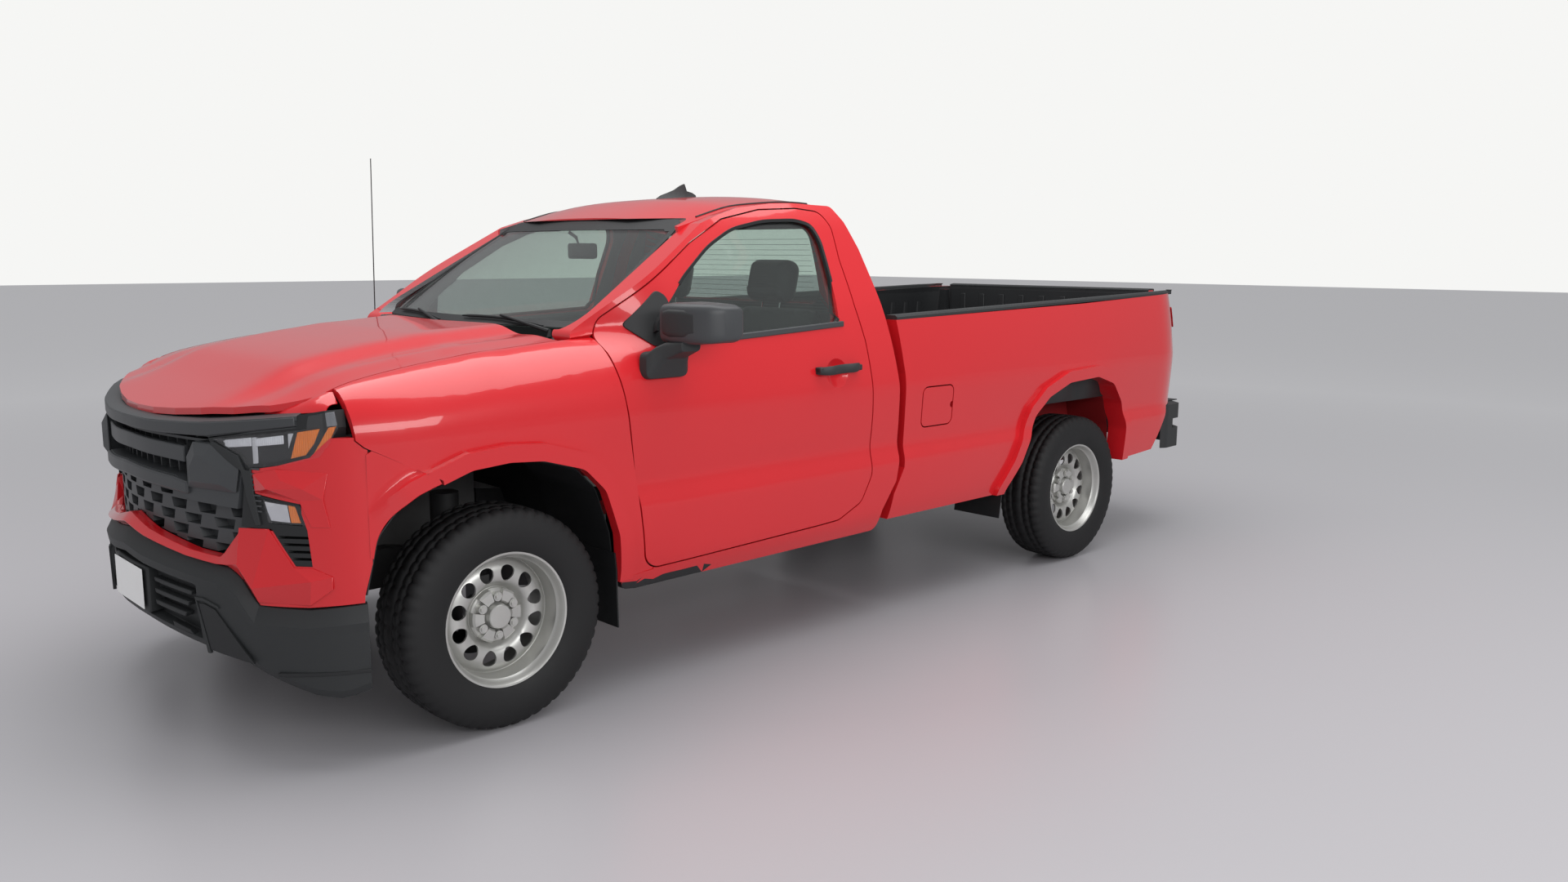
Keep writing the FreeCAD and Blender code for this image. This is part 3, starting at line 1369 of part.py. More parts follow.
def make_tail_lamps():
    """Lamps at the rear corners of the bed."""
    ahead = block(along(1.5), along(tailgate_share), 0, half_width + overrun, 0, roof_height)
    lamp = tail_lamp_zone(tail_lamp_depth, 0.0).common(ahead)
    proud = bed_face()
    proud.translate(V(0, tail_block_proud, 0))
    proud = proud.extrude(V(0, -tail_block_proud - tail_lamp_depth / 2, 0))
    proud = proud.common(side_prism(side_points(tail_block_shares), 0, half_width + overrun, tail_block_proud))
    return both_sides(fused([lamp, proud]))


def make_fuel_door():
    """Fuel filler door, flush in the left bed side."""
    slab = bed_face().extrude(V(0, -fuel_door_thickness, 0))
    panel = slab.common(side_prism(side_points(fuel_door_shares), 0, half_width + overrun, fuel_door_corner))
    x, z = along(fuel_latch_shares[0]), level(fuel_latch_shares[1])
    latch = rod(fuel_latch_radius, V(x, fuel_pocket_floor() + seat_gap, z), V(x, bed_side(x, z) - 2, z))
    edge = along(fuel_door_shares[2][0])
    finger = rod(fuel_notch_radius, V(edge, fuel_pocket_floor(), z), V(edge, half_width + overrun, z))
    return fused([panel, latch]).cut(finger)


def wheelhouse_tub(grow=0.0):
    """Left rear wheelhouse, not yet hollow."""
    points = arch_points(rear_axle_x, rear_arch_shares, wheelhouse_sheet - 1 + grow)
    return side_prism(points, wheelhouse_half_gap - grow, bed_inner_half_width, arch_round)


def bed_trimmed(shape):
    """Shape cut clear of the bed sides, the rear posts and the space under the bed."""
    side = bed_face()
    side.translate(V(0, overrun, 0))
    side = side.extrude(V(0, -bed_wall - seat_gap - overrun, 0))
    low = block(tail_x, along(bed_front_share), -half_width, half_width, 0, level(bed_low_share))
    post = rear_post(seat_gap)
    return shape.cut(side).cut(mirrored(side)).cut(low).cut(post).cut(mirrored(post))


def make_bed_box():
    """Ribbed bed floor on its cross sills."""
    front = along(bed_front_share) - bed_front_thickness - seat_gap
    back = along(tailgate_share) + tailgate_thickness + 10
    wide = bed_inner_half_width
    pieces = [block(back, front, -wide, wide, bed_floor_z - bed_floor_thickness, bed_floor_z)]
    pitch = 2 * wheelhouse_half_gap / bed_rib_count
    for index in range(bed_rib_count):
        y = -wheelhouse_half_gap + (index + 0.5) * pitch
        pieces.append(block(back, front, y - pitch / 4, y + pitch / 4, bed_floor_z - 1, bed_floor_z + bed_rib_height))
    for share in bed_sill_shares:
        x = along(share)
        base = level(bed_rail_top_shares[0 if share < 1.2 else 1]) + seat_gap
        pieces.append(block(
            x - bed_sill_width / 2, x + bed_sill_width / 2, -bed_sill_half_length, bed_sill_half_length,
            base, bed_floor_z - bed_floor_thickness + 1,
        ))
    tub = wheelhouse_tub(seat_gap)
    return bed_trimmed(fused(pieces).cut(tub).cut(mirrored(tub)))


def make_bed_front():
    """Front wall of the bed."""
    front = along(bed_front_share)
    wide = bed_inner_half_width
    return bed_trimmed(block(
        front - bed_front_thickness, front, -wide, wide, bed_floor_z - bed_floor_thickness, level(0.712)))


def make_wheelhouse(side):
    """Sheet wheelhouse over one rear wheel."""
    points = arch_points(rear_axle_x, rear_arch_shares, -1)
    hollow = side_prism(points, wheelhouse_half_gap + wheelhouse_sheet, half_width + overrun, arch_round)
    shape = bed_trimmed(wheelhouse_tub().cut(hollow))
    return shape if side > 0 else mirrored(shape)


def make_rail_caps():
    """Black caps on the bed's side rails."""
    front, back = along(0.578), along(1.80)
    low, high = level(0.712), level(0.7475)
    inner = bed_inner_half_width - 12
    outer = across(0.955)
    points = [V(front, 0, low), V(back, 0, high), V(back, 0, high + rail_cap_height), V(front, 0, low + rail_cap_height)]
    return both_sides(side_prism(points, inner, outer))


def make_tailgate():
    """Tailgate panel with the recess of its pull and the bores of its hinge pins."""
    face_x = along(tailgate_share)
    top = level(0.752)
    points = [
        V(face_x, 0, tailgate_bottom), V(face_x + tailgate_thickness, 0, tailgate_bottom),
        V(face_x + tailgate_thickness, 0, top), V(face_x, 0, top),
    ]
    panel = side_prism(points, -tailgate_half_width, tailgate_half_width, 8.0)
    bore = gate_pin(tailgate_half_width - gate_pin_depth - 2, half_width, gate_pin_radius + pin_clearance)
    points = [
        V(0, -gate_recess_half, level(gate_recess_shares[0])), V(0, gate_recess_half, level(gate_recess_shares[0])),
        V(0, gate_recess_half, level(gate_recess_shares[1])), V(0, -gate_recess_half, level(gate_recess_shares[1])),
    ]
    recess = front_prism(points, face_x - overrun, face_x + gate_recess_depth, gate_recess_depth)
    return panel.cut(both_sides(bore)).cut(recess)


rear_bumper_top_share = 0.398
rear_bumper_bottom_share = 0.262
rear_bumper_plan_shares = [(1.715, 0.955), (1.865, 0.945), (1.960, 0.780), (2.000, 0.560)]
ball_hole_radius = 14.3
step_plate = 6.0
rear_bumper_wall = 26.0
foothold_station_shares = (1.905, 1.800)
foothold_level_shares = (0.322, 0.352)
foothold_inner_share = 0.820


def make_rear_bumper():
    """Rear bumper, open towards the truck, with steps at its corners and a hole for a tow ball."""
    outer = [V(along(a), across(b), 0) for a, b in rear_bumper_plan_shares]
    points = outer + [V(p.x, -p.y, 0) for p in reversed(outer)]
    high, low = level(rear_bumper_top_share), level(rear_bumper_bottom_share)
    shape = plan_prism(points, low, high, 60.0)
    inner = outline(points, 60.0).makeOffset2D(-rear_bumper_wall)
    inner.translate(V(0, 0, low - overrun))
    shape = shape.cut(Part.Face(inner).extrude(V(0, 0, high - low + overrun - step_plate)))
    mouth = across(rear_bumper_plan_shares[0][1]) - rear_bumper_wall
    front = block(along(1.76), along(1.60), -mouth, mouth, low - overrun, high - step_plate)
    shape = shape.cut(front)
    hole = rod(ball_hole_radius, V(along(1.962), 0, low), V(along(1.962), 0, high + overrun))
    foothold = block(
        along(foothold_station_shares[0]), along(foothold_station_shares[1]), across(foothold_inner_share),
        half_width, level(foothold_level_shares[0]), level(foothold_level_shares[1]),
    )
    return shape.cut(hole).cut(both_sides(foothold))


seat_half_width = 700.0
cushion_length = 500.0
cushion_height = 190.0
backrest_thickness = 150.0
backrest_height = 740.0
seat_front_share = 0.345
headrest_width = 270.0
headrest_height = 200.0


def make_bench_seat():
    """Bench seat with its backrest and two head restraints."""
    front = along(seat_front_share)
    back = front - cushion_length
    low = level(floor_level_share) + floor_thickness + 150
    cushion = block(back, front, -seat_half_width, seat_half_width, low, low + cushion_height)
    base = block(
        back + 60, front - 60, -seat_half_width + 60, seat_half_width - 60,
        level(floor_level_share) + tunnel_height + seat_gap, low + 1,
    )
    lean = 0.22
    top = low + backrest_height
    rest = [
        V(back + backrest_thickness, 0, low + 40), V(back + backrest_thickness - lean * backrest_height, 0, top),
        V(back + 30 - lean * backrest_height, 0, top), V(back, 0, low + 40),
    ]
    backrest = side_prism(rest, -seat_half_width, seat_half_width, 30.0)
    pieces = [cushion, base, backrest]
    for y in (-0.55 * seat_half_width, 0.55 * seat_half_width):
        x = back + backrest_thickness / 2 - lean * backrest_height
        pieces.append(block(x - 60, x + 40, y - headrest_width / 2, y + headrest_width / 2, top + 30, top + 30 + headrest_height))
        pieces.append(block(x - 20, x, y - 60, y + 60, top - 20, top + 40))
    return fused(pieces)


dash_half_width = 745.0
dash_depth = 380.0


def make_dashboard():
    """Instrument panel across the cab, with the steering column."""
    front = along(firewall_share) - firewall_thickness - seat_gap
    top = level(0.665)
    points = [
        V(front, 0, level(0.540)), V(front, 0, top), V(front - 0.55 * dash_depth, 0, top + 10),
        V(front - 0.85 * dash_depth, 0, top - 40), V(front - dash_depth, 0, level(0.58)), V(front - 0.6 * dash_depth, 0, level(0.47)),
    ]
    panel = side_prism(points, -dash_half_width, dash_half_width, 30.0)
    start = wheel_centre() - column_direction() * (steering_hub_back + seat_gap)
    column = rod(36.0, start, start - column_direction() * 420)
    return fused([panel, column])


steering_wheel_radius = 190.0
steering_wheel_grip = 15.0
steering_hub_back = 30.0
steering_tilt = 25.0
steering_station_share = 0.262
steering_level_share = 0.600
steering_y = 380.0


def column_direction():
    """Direction of the steering column, towards the driver."""
    tilt = math.radians(steering_tilt)
    return V(-math.cos(tilt), 0, math.sin(tilt))


def wheel_centre():
    return V(along(steering_station_share), steering_y, level(steering_level_share))


def make_steering_wheel():
    """Steering wheel rim with three spokes and its hub."""
    centre = wheel_centre()
    axis = column_direction()
    ring = Part.makeTorus(steering_wheel_radius, steering_wheel_grip, centre, axis)
    hub = rod(0.32 * steering_wheel_radius, centre - axis * steering_hub_back, centre + axis * 0.4 * steering_hub_back)
    pieces = [ring, hub]
    across_dir = V(0, 1, 0)
    up_dir = axis.cross(across_dir)
    for turn in (0, 180, 270):
        angle = math.radians(turn)
        reach = across_dir * math.cos(angle) + up_dir * math.sin(angle)
        pieces.append(rod(0.7 * steering_wheel_grip, centre, centre + reach * steering_wheel_radius))
    return fused(pieces)


antenna_radius = 3.0
antenna_top = 2080.0
antenna_share = 0.122
antenna_girth_share = 0.93
fin_share = 0.438
fin_length = 190.0
fin_height = 58.0
fin_width = 60.0


def cowl_place(y, t):
    """Point of the cowl panel between the hood's rear edge and the windshield's foot."""
    aside = (y / across(windshield_half_base_share)) ** 2
    front = along(hood_back_share) - hood_back_sweep * abs(y) / across(hood_side_share) + cowl_lap
    back = along(windshield_base_shares[0]) - windshield_sweep * aside + 2
    low = level(cowl_level_share) + cowl_sheet + 2 * seat_gap
    high = level(windshield_base_shares[1]) - 2 * glass_thickness
    return V(front + (back - front) * t, y, low + (high - low) * t)


def cowl_face():
    side = across(0.79)
    return skin(cowl_place, steps(-side, side, 13), steps(0.0, 1.0, 5))


def make_cowl():
    """Black cowl panel below the windshield."""
    return cowl_face().extrude(V(0, 0, -cowl_sheet))


def make_antennas():
    """Whip antenna on the right fender and the fin on the roof."""
    base = fender_place(along(antenna_share), antenna_girth_share)
    root = V(base.x, -base.y, base.z + seat_gap)
    foot = Part.makeCone(16.0, 6.0, 30.0, root + V(0, 0, 6))
    mast = rod(antenna_radius, root + V(0, 0, 6), V(root.x - 20, root.y, antenna_top))
    x = along(fin_share)
    top = roof_height_at(x, 0)
    points = [
        V(x + fin_length / 2, 0, top), V(x + fin_length / 2, 0, top - fin_height), V(x - fin_length / 2, 0, top - fin_height),
        V(x - fin_length / 2 + 8, 0, top + 0.75 * fin_height), V(x - fin_length / 4, 0, top + fin_height),
    ]
    fin = side_prism(points, -fin_width / 4, fin_width / 4)
    under = roof_face()
    under.translate(V(0, 0, seat_gap))
    fin = fin.cut(under.extrude(V(0, 0, -2 * fin_height)))
    return Part.makeCompound([fused([foot, mast]), fin])


def save(name, shape):
    """Write one sub-part and say what it holds."""
    solids = shape.Solids
    Part.makeCompound(solids).exportStep("parts/" + name + ".step")
    print(name, len(solids), "solids", round(shape.Volume / 1e6, 2), "dm3", "valid" if shape.isValid() else "INVALID")


def main():
    os.makedirs("parts", exist_ok=True)
    single = {
        "ladder_frame": make_ladder_frame, "engine_block": make_engine_block, "driveline": make_driveline,
        "rear_axle": make_rear_axle, "leaf_springs": make_leaf_springs,
        "front_suspension": make_front_suspension, "exhaust": make_exhaust, "fuel_tank": make_fuel_tank,
        "spare_wheel": make_spare_wheel, "cab_shell": make_cab_shell, "fixed_glass": make_fixed_glass,
        "front_fenders": make_front_fenders, "rear_mud_flaps": make_rear_flaps, "grille": make_grille,
        "front_fascia": make_front_fascia, "front_bumper": make_front_bumper, "headlamps": make_headlamps,
        "radiator": make_radiator, "bed_box": make_bed_box, "bed_front": make_bed_front, "bed_sides": make_bed_sides,
        "rail_caps": make_rail_caps, "tail_lamps": make_tail_lamps, "rear_bumper": make_rear_bumper,
        "bench_seat": make_bench_seat, "dashboard": make_dashboard, "cowl_panel": make_cowl,
        "antennas": make_antennas, "hood": make_hood, "tailgate": make_tailgate, "fuel_door": make_fuel_door,
        "steering_wheel": make_steering_wheel,
    }
    for name, make in single.items():
        save(name, make())
    for side, side_name in ((1, "left"), (-1, "right")):
        save("door_" + side_name, make_door(side))
        save("door_glass_" + side_name, make_door_glass(side))
        save("door_trim_" + side_name, make_mirror(side))
        save("knuckle_" + side_name, make_knuckle(side))
        save("wheelhouse_" + side_name, make_wheelhouse(side))
        save("front_liner_" + side_name, make_front_liner(side))
        for axle_x, axle_name in ((front_axle_x, "front"), (rear_axle_x, "rear")):
            save("tyre_" + axle_name + "_" + side_name, make_tyre(axle_x, side))
            save("rim_" + axle_name + "_" + side_name, make_rim(axle_x, side))


main()
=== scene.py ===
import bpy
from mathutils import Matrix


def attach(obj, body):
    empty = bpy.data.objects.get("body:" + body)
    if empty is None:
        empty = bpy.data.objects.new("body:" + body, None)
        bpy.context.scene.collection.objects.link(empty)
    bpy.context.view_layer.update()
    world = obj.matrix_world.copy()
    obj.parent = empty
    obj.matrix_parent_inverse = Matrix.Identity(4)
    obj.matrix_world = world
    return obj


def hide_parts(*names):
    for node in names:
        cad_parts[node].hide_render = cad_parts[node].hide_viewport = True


bl_info = {
    "name": "Pickup Truck Dressing",
    "version": (1, 0, 0),
    "blender": (4, 5, 0),
    "location": "View3D > Sidebar > Truck",
    "description": "Builds the visible parts of a two-door pickup truck around its packed frame",
    "category": "Object",
}

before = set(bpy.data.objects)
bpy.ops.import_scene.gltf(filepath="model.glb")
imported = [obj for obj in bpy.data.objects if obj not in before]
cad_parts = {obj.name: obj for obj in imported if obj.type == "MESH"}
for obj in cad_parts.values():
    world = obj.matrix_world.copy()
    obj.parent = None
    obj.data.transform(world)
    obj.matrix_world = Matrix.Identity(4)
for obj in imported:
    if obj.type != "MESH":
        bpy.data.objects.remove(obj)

import math

import bmesh
import bpy
from mathutils import Matrix, Vector
from mathutils.bvhtree import BVHTree

# Stations of the truck, in metres: +X forward, +Y left, +Z up
WHEELBASE = 3.546
FRONT_AXLE = 1.985
REAR_AXLE = FRONT_AXLE - WHEELBASE
FRONT_OVERHANG = 0.930
REAR_OVERHANG = 1.354
HALF_WIDTH = 1.003
ROOF = 1.920
TYRE_RADIUS = 0.394
HALF_TRACK = 0.870
# Plan of the nose: share of the front overhang, share of the half width
NOSE_PLAN = [
    (0.970, 0.000), (0.962, 0.150), (0.936, 0.300), (0.898, 0.449), (0.840, 0.598), (0.768, 0.738),
    (0.680, 0.847), (0.603, 0.917), (0.510, 0.962), (0.35, 0.99),
]
SIDES = (("left", 1), ("right", -1))


def along(share):
    """x of a station: -1 is the nose, 0 and 1 are the axles, 2 is the tail."""
    if share < 0:
        return FRONT_AXLE - share * FRONT_OVERHANG
    if share > 1:
        return REAR_AXLE - (share - 1) * REAR_OVERHANG
    return FRONT_AXLE - share * WHEELBASE


def level(share):
    return share * ROOF


def across(share):
    return share * HALF_WIDTH


def smooth_step(value):
    value = max(0.0, min(1.0, value))
    return value * value * (3 - 2 * value)


def table_value(table, key):
    """Smooth value through a table of (key, value) pairs in rising order."""
    if key <= table[0][0]:
        return table[0][1]
    if key >= table[-1][0]:
        return table[-1][1]
    index = 0
    while table[index + 1][0] < key:
        index += 1
    slopes = []
    for spot in (index, index + 1):
        low, high = max(0, spot - 1), min(len(table) - 1, spot + 1)
        slopes.append((table[high][1] - table[low][1]) / (table[high][0] - table[low][0]))
    start, end = table[index], table[index + 1]
    span = end[0] - start[0]
    t = (key - start[0]) / span
    return (start[1] * (2 * t ** 3 - 3 * t ** 2 + 1) + slopes[0] * span * (t ** 3 - 2 * t ** 2 + t)
            + end[1] * (3 * t ** 2 - 2 * t ** 3) + slopes[1] * span * (t ** 3 - t ** 2))


# Materials

THREADS = 180.0


def shader_nodes(name):
    """New material with its node tree and Principled shader."""
    material = bpy.data.materials.new(name)
    material.use_nodes = True
    tree = material.node_tree
    shader = next(n for n in tree.nodes if n.type == "BSDF_PRINCIPLED")
    return material, tree, shader


def texture(tree, kind, scale):
    """Texture node of a kind over the object's own coordinates."""
    place = tree.nodes.new("ShaderNodeTexCoord")
    node = tree.nodes.new(kind)
    node.inputs["Scale"].default_value = scale
    tree.links.new(place.outputs["Object"], node.inputs["Vector"])
    return node


def grain(tree, scale, detail):
    """Noise of a scale and detail."""
    noise = texture(tree, "ShaderNodeTexNoise", scale)
    noise.inputs["Detail"].default_value = detail
    return noise.outputs["Fac"]


def spread(tree, source, low, high):
    """A 0 to 1 value moved to a range."""
    node = tree.nodes.new("ShaderNodeMapRange")
    node.inputs["To Min"].default_value = low
    node.inputs["To Max"].default_value = high
    tree.links.new(source, node.inputs["Value"])
    return node.outputs["Result"]


def add_bump(tree, shader, source, depth, strength):
    """Bump the shader by a height."""
    bump = tree.nodes.new("ShaderNodeBump")
    bump.inputs["Strength"].default_value = strength
    bump.inputs["Distance"].default_value = depth
    tree.links.new(source, bump.inputs["Height"])
    tree.links.new(bump.outputs["Normal"], shader.inputs["Normal"])


def shaded(colour, share):
    """A colour made darker or paler by a share."""
    return tuple(c * share for c in colour)


def two_tone(tree, shader, first, second, source):
    """Base colour that moves between two colours."""
    mix = tree.nodes.new("ShaderNodeMix")
    mix.data_type = "RGBA"
    mix.inputs["A"].default_value = (*first, 1)
    mix.inputs["B"].default_value = (*second, 1)
    tree.links.new(source, mix.inputs["Factor"])
    tree.links.new(mix.outputs["Result"], shader.inputs["Base Color"])


def body_paint(name, colour):
    """Solid gloss paint with a faint orange peel and dust in its roughness."""
    material, tree, shader = shader_nodes(name)
    cloud = grain(tree, 1.4, 3)
    two_tone(tree, shader, colour, shaded(colour, 0.97), cloud)
    add_bump(tree, shader, grain(tree, 220.0, 2), 0.00012, 0.08)
    tree.links.new(spread(tree, cloud, 0.27, 0.30), shader.inputs["Roughness"])
    shader.inputs["Specular IOR Level"].default_value = 0.3
    shader.inputs["Coat Weight"].default_value = 0.8
    shader.inputs["Coat Roughness"].default_value = 0.035
    return material


def moulded_plastic(name, colour, roughness=0.55, pitch=900.0, depth=0.0003):
    """Moulded plastic with a fine leather-like grain and slight fading."""
    material, tree, shader = shader_nodes(name)
    cloud = grain(tree, 2.2, 5)
    two_tone(tree, shader, colour, tuple(c * 1.25 + 0.004 for c in colour), cloud)
    cells = texture(tree, "ShaderNodeTexVoronoi", pitch)
    add_bump(tree, shader, cells.outputs["Distance"], depth, 0.35)
    tree.links.new(spread(tree, cloud, roughness - 0.06, roughness + 0.08), shader.inputs["Roughness"])
    return material


def rubber(name, colour):
    """Tyre rubber, dull with fine dust."""
    material, tree, shader = shader_nodes(name)
    cloud = grain(tree, 9.0, 8)
    two_tone(tree, shader, colour, shaded(colour, 1.7), cloud)
    add_bump(tree, shader, grain(tree, 700.0, 3), 0.0003, 0.3)
    tree.links.new(spread(tree, cloud, 0.58, 0.78), shader.inputs["Roughness"])
    return material


def metal(name, colour, roughness, metallic=1.0, wear=0.10):
    """Metal or metallic paint with uneven gloss."""
    material, tree, shader = shader_nodes(name)
    cloud = grain(tree, 14.0, 7)
    two_tone(tree, shader, colour, shaded(colour, 0.86), cloud)
    add_bump(tree, shader, grain(tree, 500.0, 2), 0.0002, 0.15)
    tree.links.new(spread(tree, cloud, roughness - wear / 2, roughness + wear), shader.inputs["Roughness"])
    shader.inputs["Metallic"].default_value = metallic
    return material


def clear_glass(name, tint, least=0.10, most=0.75):
    """Thin window glass: clear with a tint, and more reflection at a slant."""
    material, tree, shader = shader_nodes(name)
    clear = tree.nodes.new("ShaderNodeBsdfTransparent")
    clear.inputs["Color"].default_value = (*tint, 1)
    gloss = tree.nodes.new("ShaderNodeBsdfGlossy")
    tree.links.new(spread(tree, grain(tree, 3.0, 2), 0.01, 0.03), gloss.inputs["Roughness"])
    slant = tree.nodes.new("ShaderNodeLayerWeight")
    curve = tree.nodes.new("ShaderNodeMath")
    curve.operation = "POWER"
    curve.inputs[1].default_value = 3.0
    tree.links.new(slant.outputs["Facing"], curve.inputs[0])
    mix = tree.nodes.new("ShaderNodeMixShader")
    out = next(n for n in tree.nodes if n.type == "OUTPUT_MATERIAL")
    tree.links.new(spread(tree, curve.outputs["Value"], least, most), mix.inputs["Fac"])
    tree.links.new(clear.outputs["BSDF"], mix.inputs[1])
    tree.links.new(gloss.outputs["BSDF"], mix.inputs[2])
    tree.links.new(mix.outputs["Shader"], out.inputs["Surface"])
    tree.nodes.remove(shader)
    return material


def woven_cloth(name, colour):
    """Woven seat fabric with fine crossing threads."""
    material, tree, shader = shader_nodes(name)
    join = tree.nodes.new("ShaderNodeMath")
    join.operation = "MULTIPLY"
    for index, direction in enumerate("XY"):
        wave = texture(tree, "ShaderNodeTexWave", THREADS)
        wave.bands_direction = direction
        wave.inputs["Distortion"].default_value = 1.2
        tree.links.new(wave.outputs["Fac"], join.inputs[index])
    two_tone(tree, shader, colour, shaded(colour, 1.6), join.outputs["Value"])
    add_bump(tree, shader, join.outputs["Value"], 0.0006, 0.5)
    shader.inputs["Roughness"].default_value = 0.9
    shader.inputs["Sheen Weight"].default_value = 0.25
    return material


def lens(name, colour, ribs=0.0):
    """Coloured or clear lamp lens with moulded ribs."""
    material, tree, shader = shader_nodes(name)
    two_tone(tree, shader, colour, shaded(colour, 0.8), grain(tree, 30.0, 2))
    shader.inputs["Roughness"].default_value = 0.08
    shader.inputs["Coat Weight"].default_value = 0.6
    shader.inputs["Coat Roughness"].default_value = 0.03
    if ribs:
        wave = texture(tree, "ShaderNodeTexWave", ribs)
        wave.bands_direction = "Y"
        add_bump(tree, shader, wave.outputs["Fac"], 0.002, 0.5)
    return material


class TruckLook(bpy.types.PropertyGroup):
    """Colours and sizes of the truck that a user would change"""
    paint: bpy.props.FloatVectorProperty(
        name="Paint", description="Colour of the body paint", size=3, subtype="COLOR", min=0, max=1,
        default=(0.63, 0.013, 0.019))
    trim: bpy.props.FloatVectorProperty(
        name="Trim", description="Colour of the grained bumpers and mouldings", size=3, subtype="COLOR",
        min=0, max=1, default=(0.019, 0.021, 0.022))
    deep: bpy.props.FloatVectorProperty(
        name="Liners", description="Colour of the bed, arch and lamp linings", size=3, subtype="COLOR", min=0,
        max=1, default=(0.010, 0.011, 0.012))
    silver: bpy.props.FloatVectorProperty(
        name="Wheels", description="Colour of the pressed wheels", size=3, subtype="COLOR", min=0, max=1,
        default=(0.60, 0.60, 0.575))
    cloth: bpy.props.FloatVectorProperty(
        name="Seat Cloth", description="Colour of the seat cloth", size=3, subtype="COLOR", min=0, max=1,
        default=(0.050, 0.052, 0.056))
    mirror_half: bpy.props.FloatProperty(
        name="Mirror Half Height", description="Half the height of a mirror head", unit="LENGTH",
        default=0.077)
    cushion_crown: bpy.props.FloatProperty(
        name="Cushion Crown", description="How far the seat cushions swell", unit="LENGTH", default=0.022)
    back_crown: bpy.props.FloatProperty(
        name="Back Crown", description="How far the seat backs and head rests swell", unit="LENGTH",
        default=0.016)
    fin_height: bpy.props.FloatProperty(
        name="Fin Height", description="Height of the roof fin", unit="LENGTH", default=0.068)
    overhead_power: bpy.props.FloatProperty(
        name="Overhead Lamp", description="Power of the studio lamp above", unit="POWER", default=270)
    side_power: bpy.props.FloatProperty(
        name="Side Lamp", description="Power of the studio lamp at the side", unit="POWER", default=260)


def look():
    """The user's settings."""
    return bpy.context.scene.truck_look


# Each finish: its maker, the material's name, its colour or the setting that holds it, and other values
MAKERS = {
    "paint": (body_paint, "gloss_red_paint", "paint"),
    "trim": (moulded_plastic, "grained_black_plastic", "trim"),
    "satin_trim": (moulded_plastic, "satin_charcoal_plastic", (0.040, 0.043, 0.046), 0.42, 1400.0, 0.0001),
    "deep": (moulded_plastic, "deep_black_plastic", "deep", 0.5, 700.0),
    "rubber": (rubber, "tyre_rubber_black", (0.0055, 0.0055, 0.006)),
    "silver": (metal, "silver_wheel_paint", "silver", 0.36, 0.75),
    "frame": (metal, "waxed_frame_black", (0.018, 0.018, 0.019), 0.5, 0.2),
    "cast": (metal, "cast_iron_grey", (0.16, 0.16, 0.16), 0.6, 0.8),
    "pipe": (metal, "exhaust_pipe_steel", (0.36, 0.34, 0.31), 0.42, 0.95),
    "chrome": (metal, "reflector_chrome", (0.86, 0.87, 0.88), 0.10, 1.0, 0.04),
    "glass": (clear_glass, "window_glass", (0.84, 0.90, 0.87)),
    "lamp_cover": (clear_glass, "lamp_cover_glass", (0.97, 0.97, 0.98), 0.04, 0.5),
    "amber": (lens, "amber_lens", (0.90, 0.22, 0.01), 60.0),
    "red_lens": (lens, "red_lens", (0.42, 0.008, 0.012), 40.0),
    "clear_lens": (lens, "clear_lens", (0.80, 0.82, 0.84), 50.0),
    "cloth": (woven_cloth, "grey_seat_cloth", "cloth"),
    "dash": (moulded_plastic, "soft_dash_plastic", (0.030, 0.031, 0.034), 0.62, 600.0),
    # Red paint of the wheel tubs, darkened as painted shade
    "dull_paint": (moulded_plastic, "dull_red_primer", (0.20, 0.007, 0.009), 0.45, 300.0),
    "headliner": (woven_cloth, "pale_grey_lining", (0.16, 0.16, 0.165)),
    "smoke": (lens, "smoked_lamp_lens", (0.20, 0.21, 0.22), 30.0),
    "plate": (moulded_plastic, "white_plate_paint", (0.78, 0.78, 0.77), 0.4, 100.0, 0.0001),
}
FINISHES = {}


def finish_of(name):
    """The material of a finish, made the first time it is asked for."""
    if name not in FINISHES:
        maker, label, colour, *others = MAKERS[name]
        if isinstance(colour, str):
            colour = getattr(look(), colour)
        FINISHES[name] = maker(label, colour, *others)
    return FINISHES[name]


NODE_FINISH = {
    "ladder_frame": "frame", "engine_block": "cast", "driveline": "cast", "rear_axle": "frame",
    "leaf_springs": "frame", "front_suspension": "frame", "exhaust": "pipe", "fuel_tank": "trim",
    "spare_wheel": "rubber", "cab_shell": "paint", "fixed_glass": "glass", "front_fenders": "paint",
    "front_liner_left": "deep", "front_liner_right": "deep", "rear_mud_flaps": "deep",
    "grille": "satin_trim", "front_fascia": "paint", "front_bumper": "trim",
    "headlamps": "deep", "radiator": "frame", "bed_box": "deep", "bed_front": "deep",
    "wheelhouse_left": "deep", "wheelhouse_right": "deep", "bed_sides": "paint", "rail_caps": "trim",
    "tail_lamps": "red_lens", "rear_bumper": "trim", "bench_seat": "cloth", "dashboard": "dash",
    "cowl_panel": "trim", "antennas": "deep", "hood": "paint", "tailgate": "paint", "fuel_door": "paint",
    "steering_wheel": "dash",
}


def node_finish(node):
    """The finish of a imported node, by its name."""
    for start, finish in (("door_glass", "glass"), ("door_trim", "trim"), ("door_", "paint"),
                          ("knuckle", "cast"), ("tyre", "rubber"), ("rim", "silver")):
        if node.startswith(start):
            return finish
    return NODE_FINISH[node]


def line_faces(name, finish, test, slot=1):
    """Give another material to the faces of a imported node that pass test(centre, normal)."""
    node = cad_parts[name]
    node.data.materials.append(finish_of(finish))
    turn = node.matrix_world.to_3x3()
    for face in node.data.polygons:
        if test(node.matrix_world @ face.center, (turn @ face.normal).normalized()):
            face.material_index = slot


# Mesh helpers

BEVEL_ANGLE = math.radians(35)
PLATE_STEP = 0.05
NOSE_END = 0.985


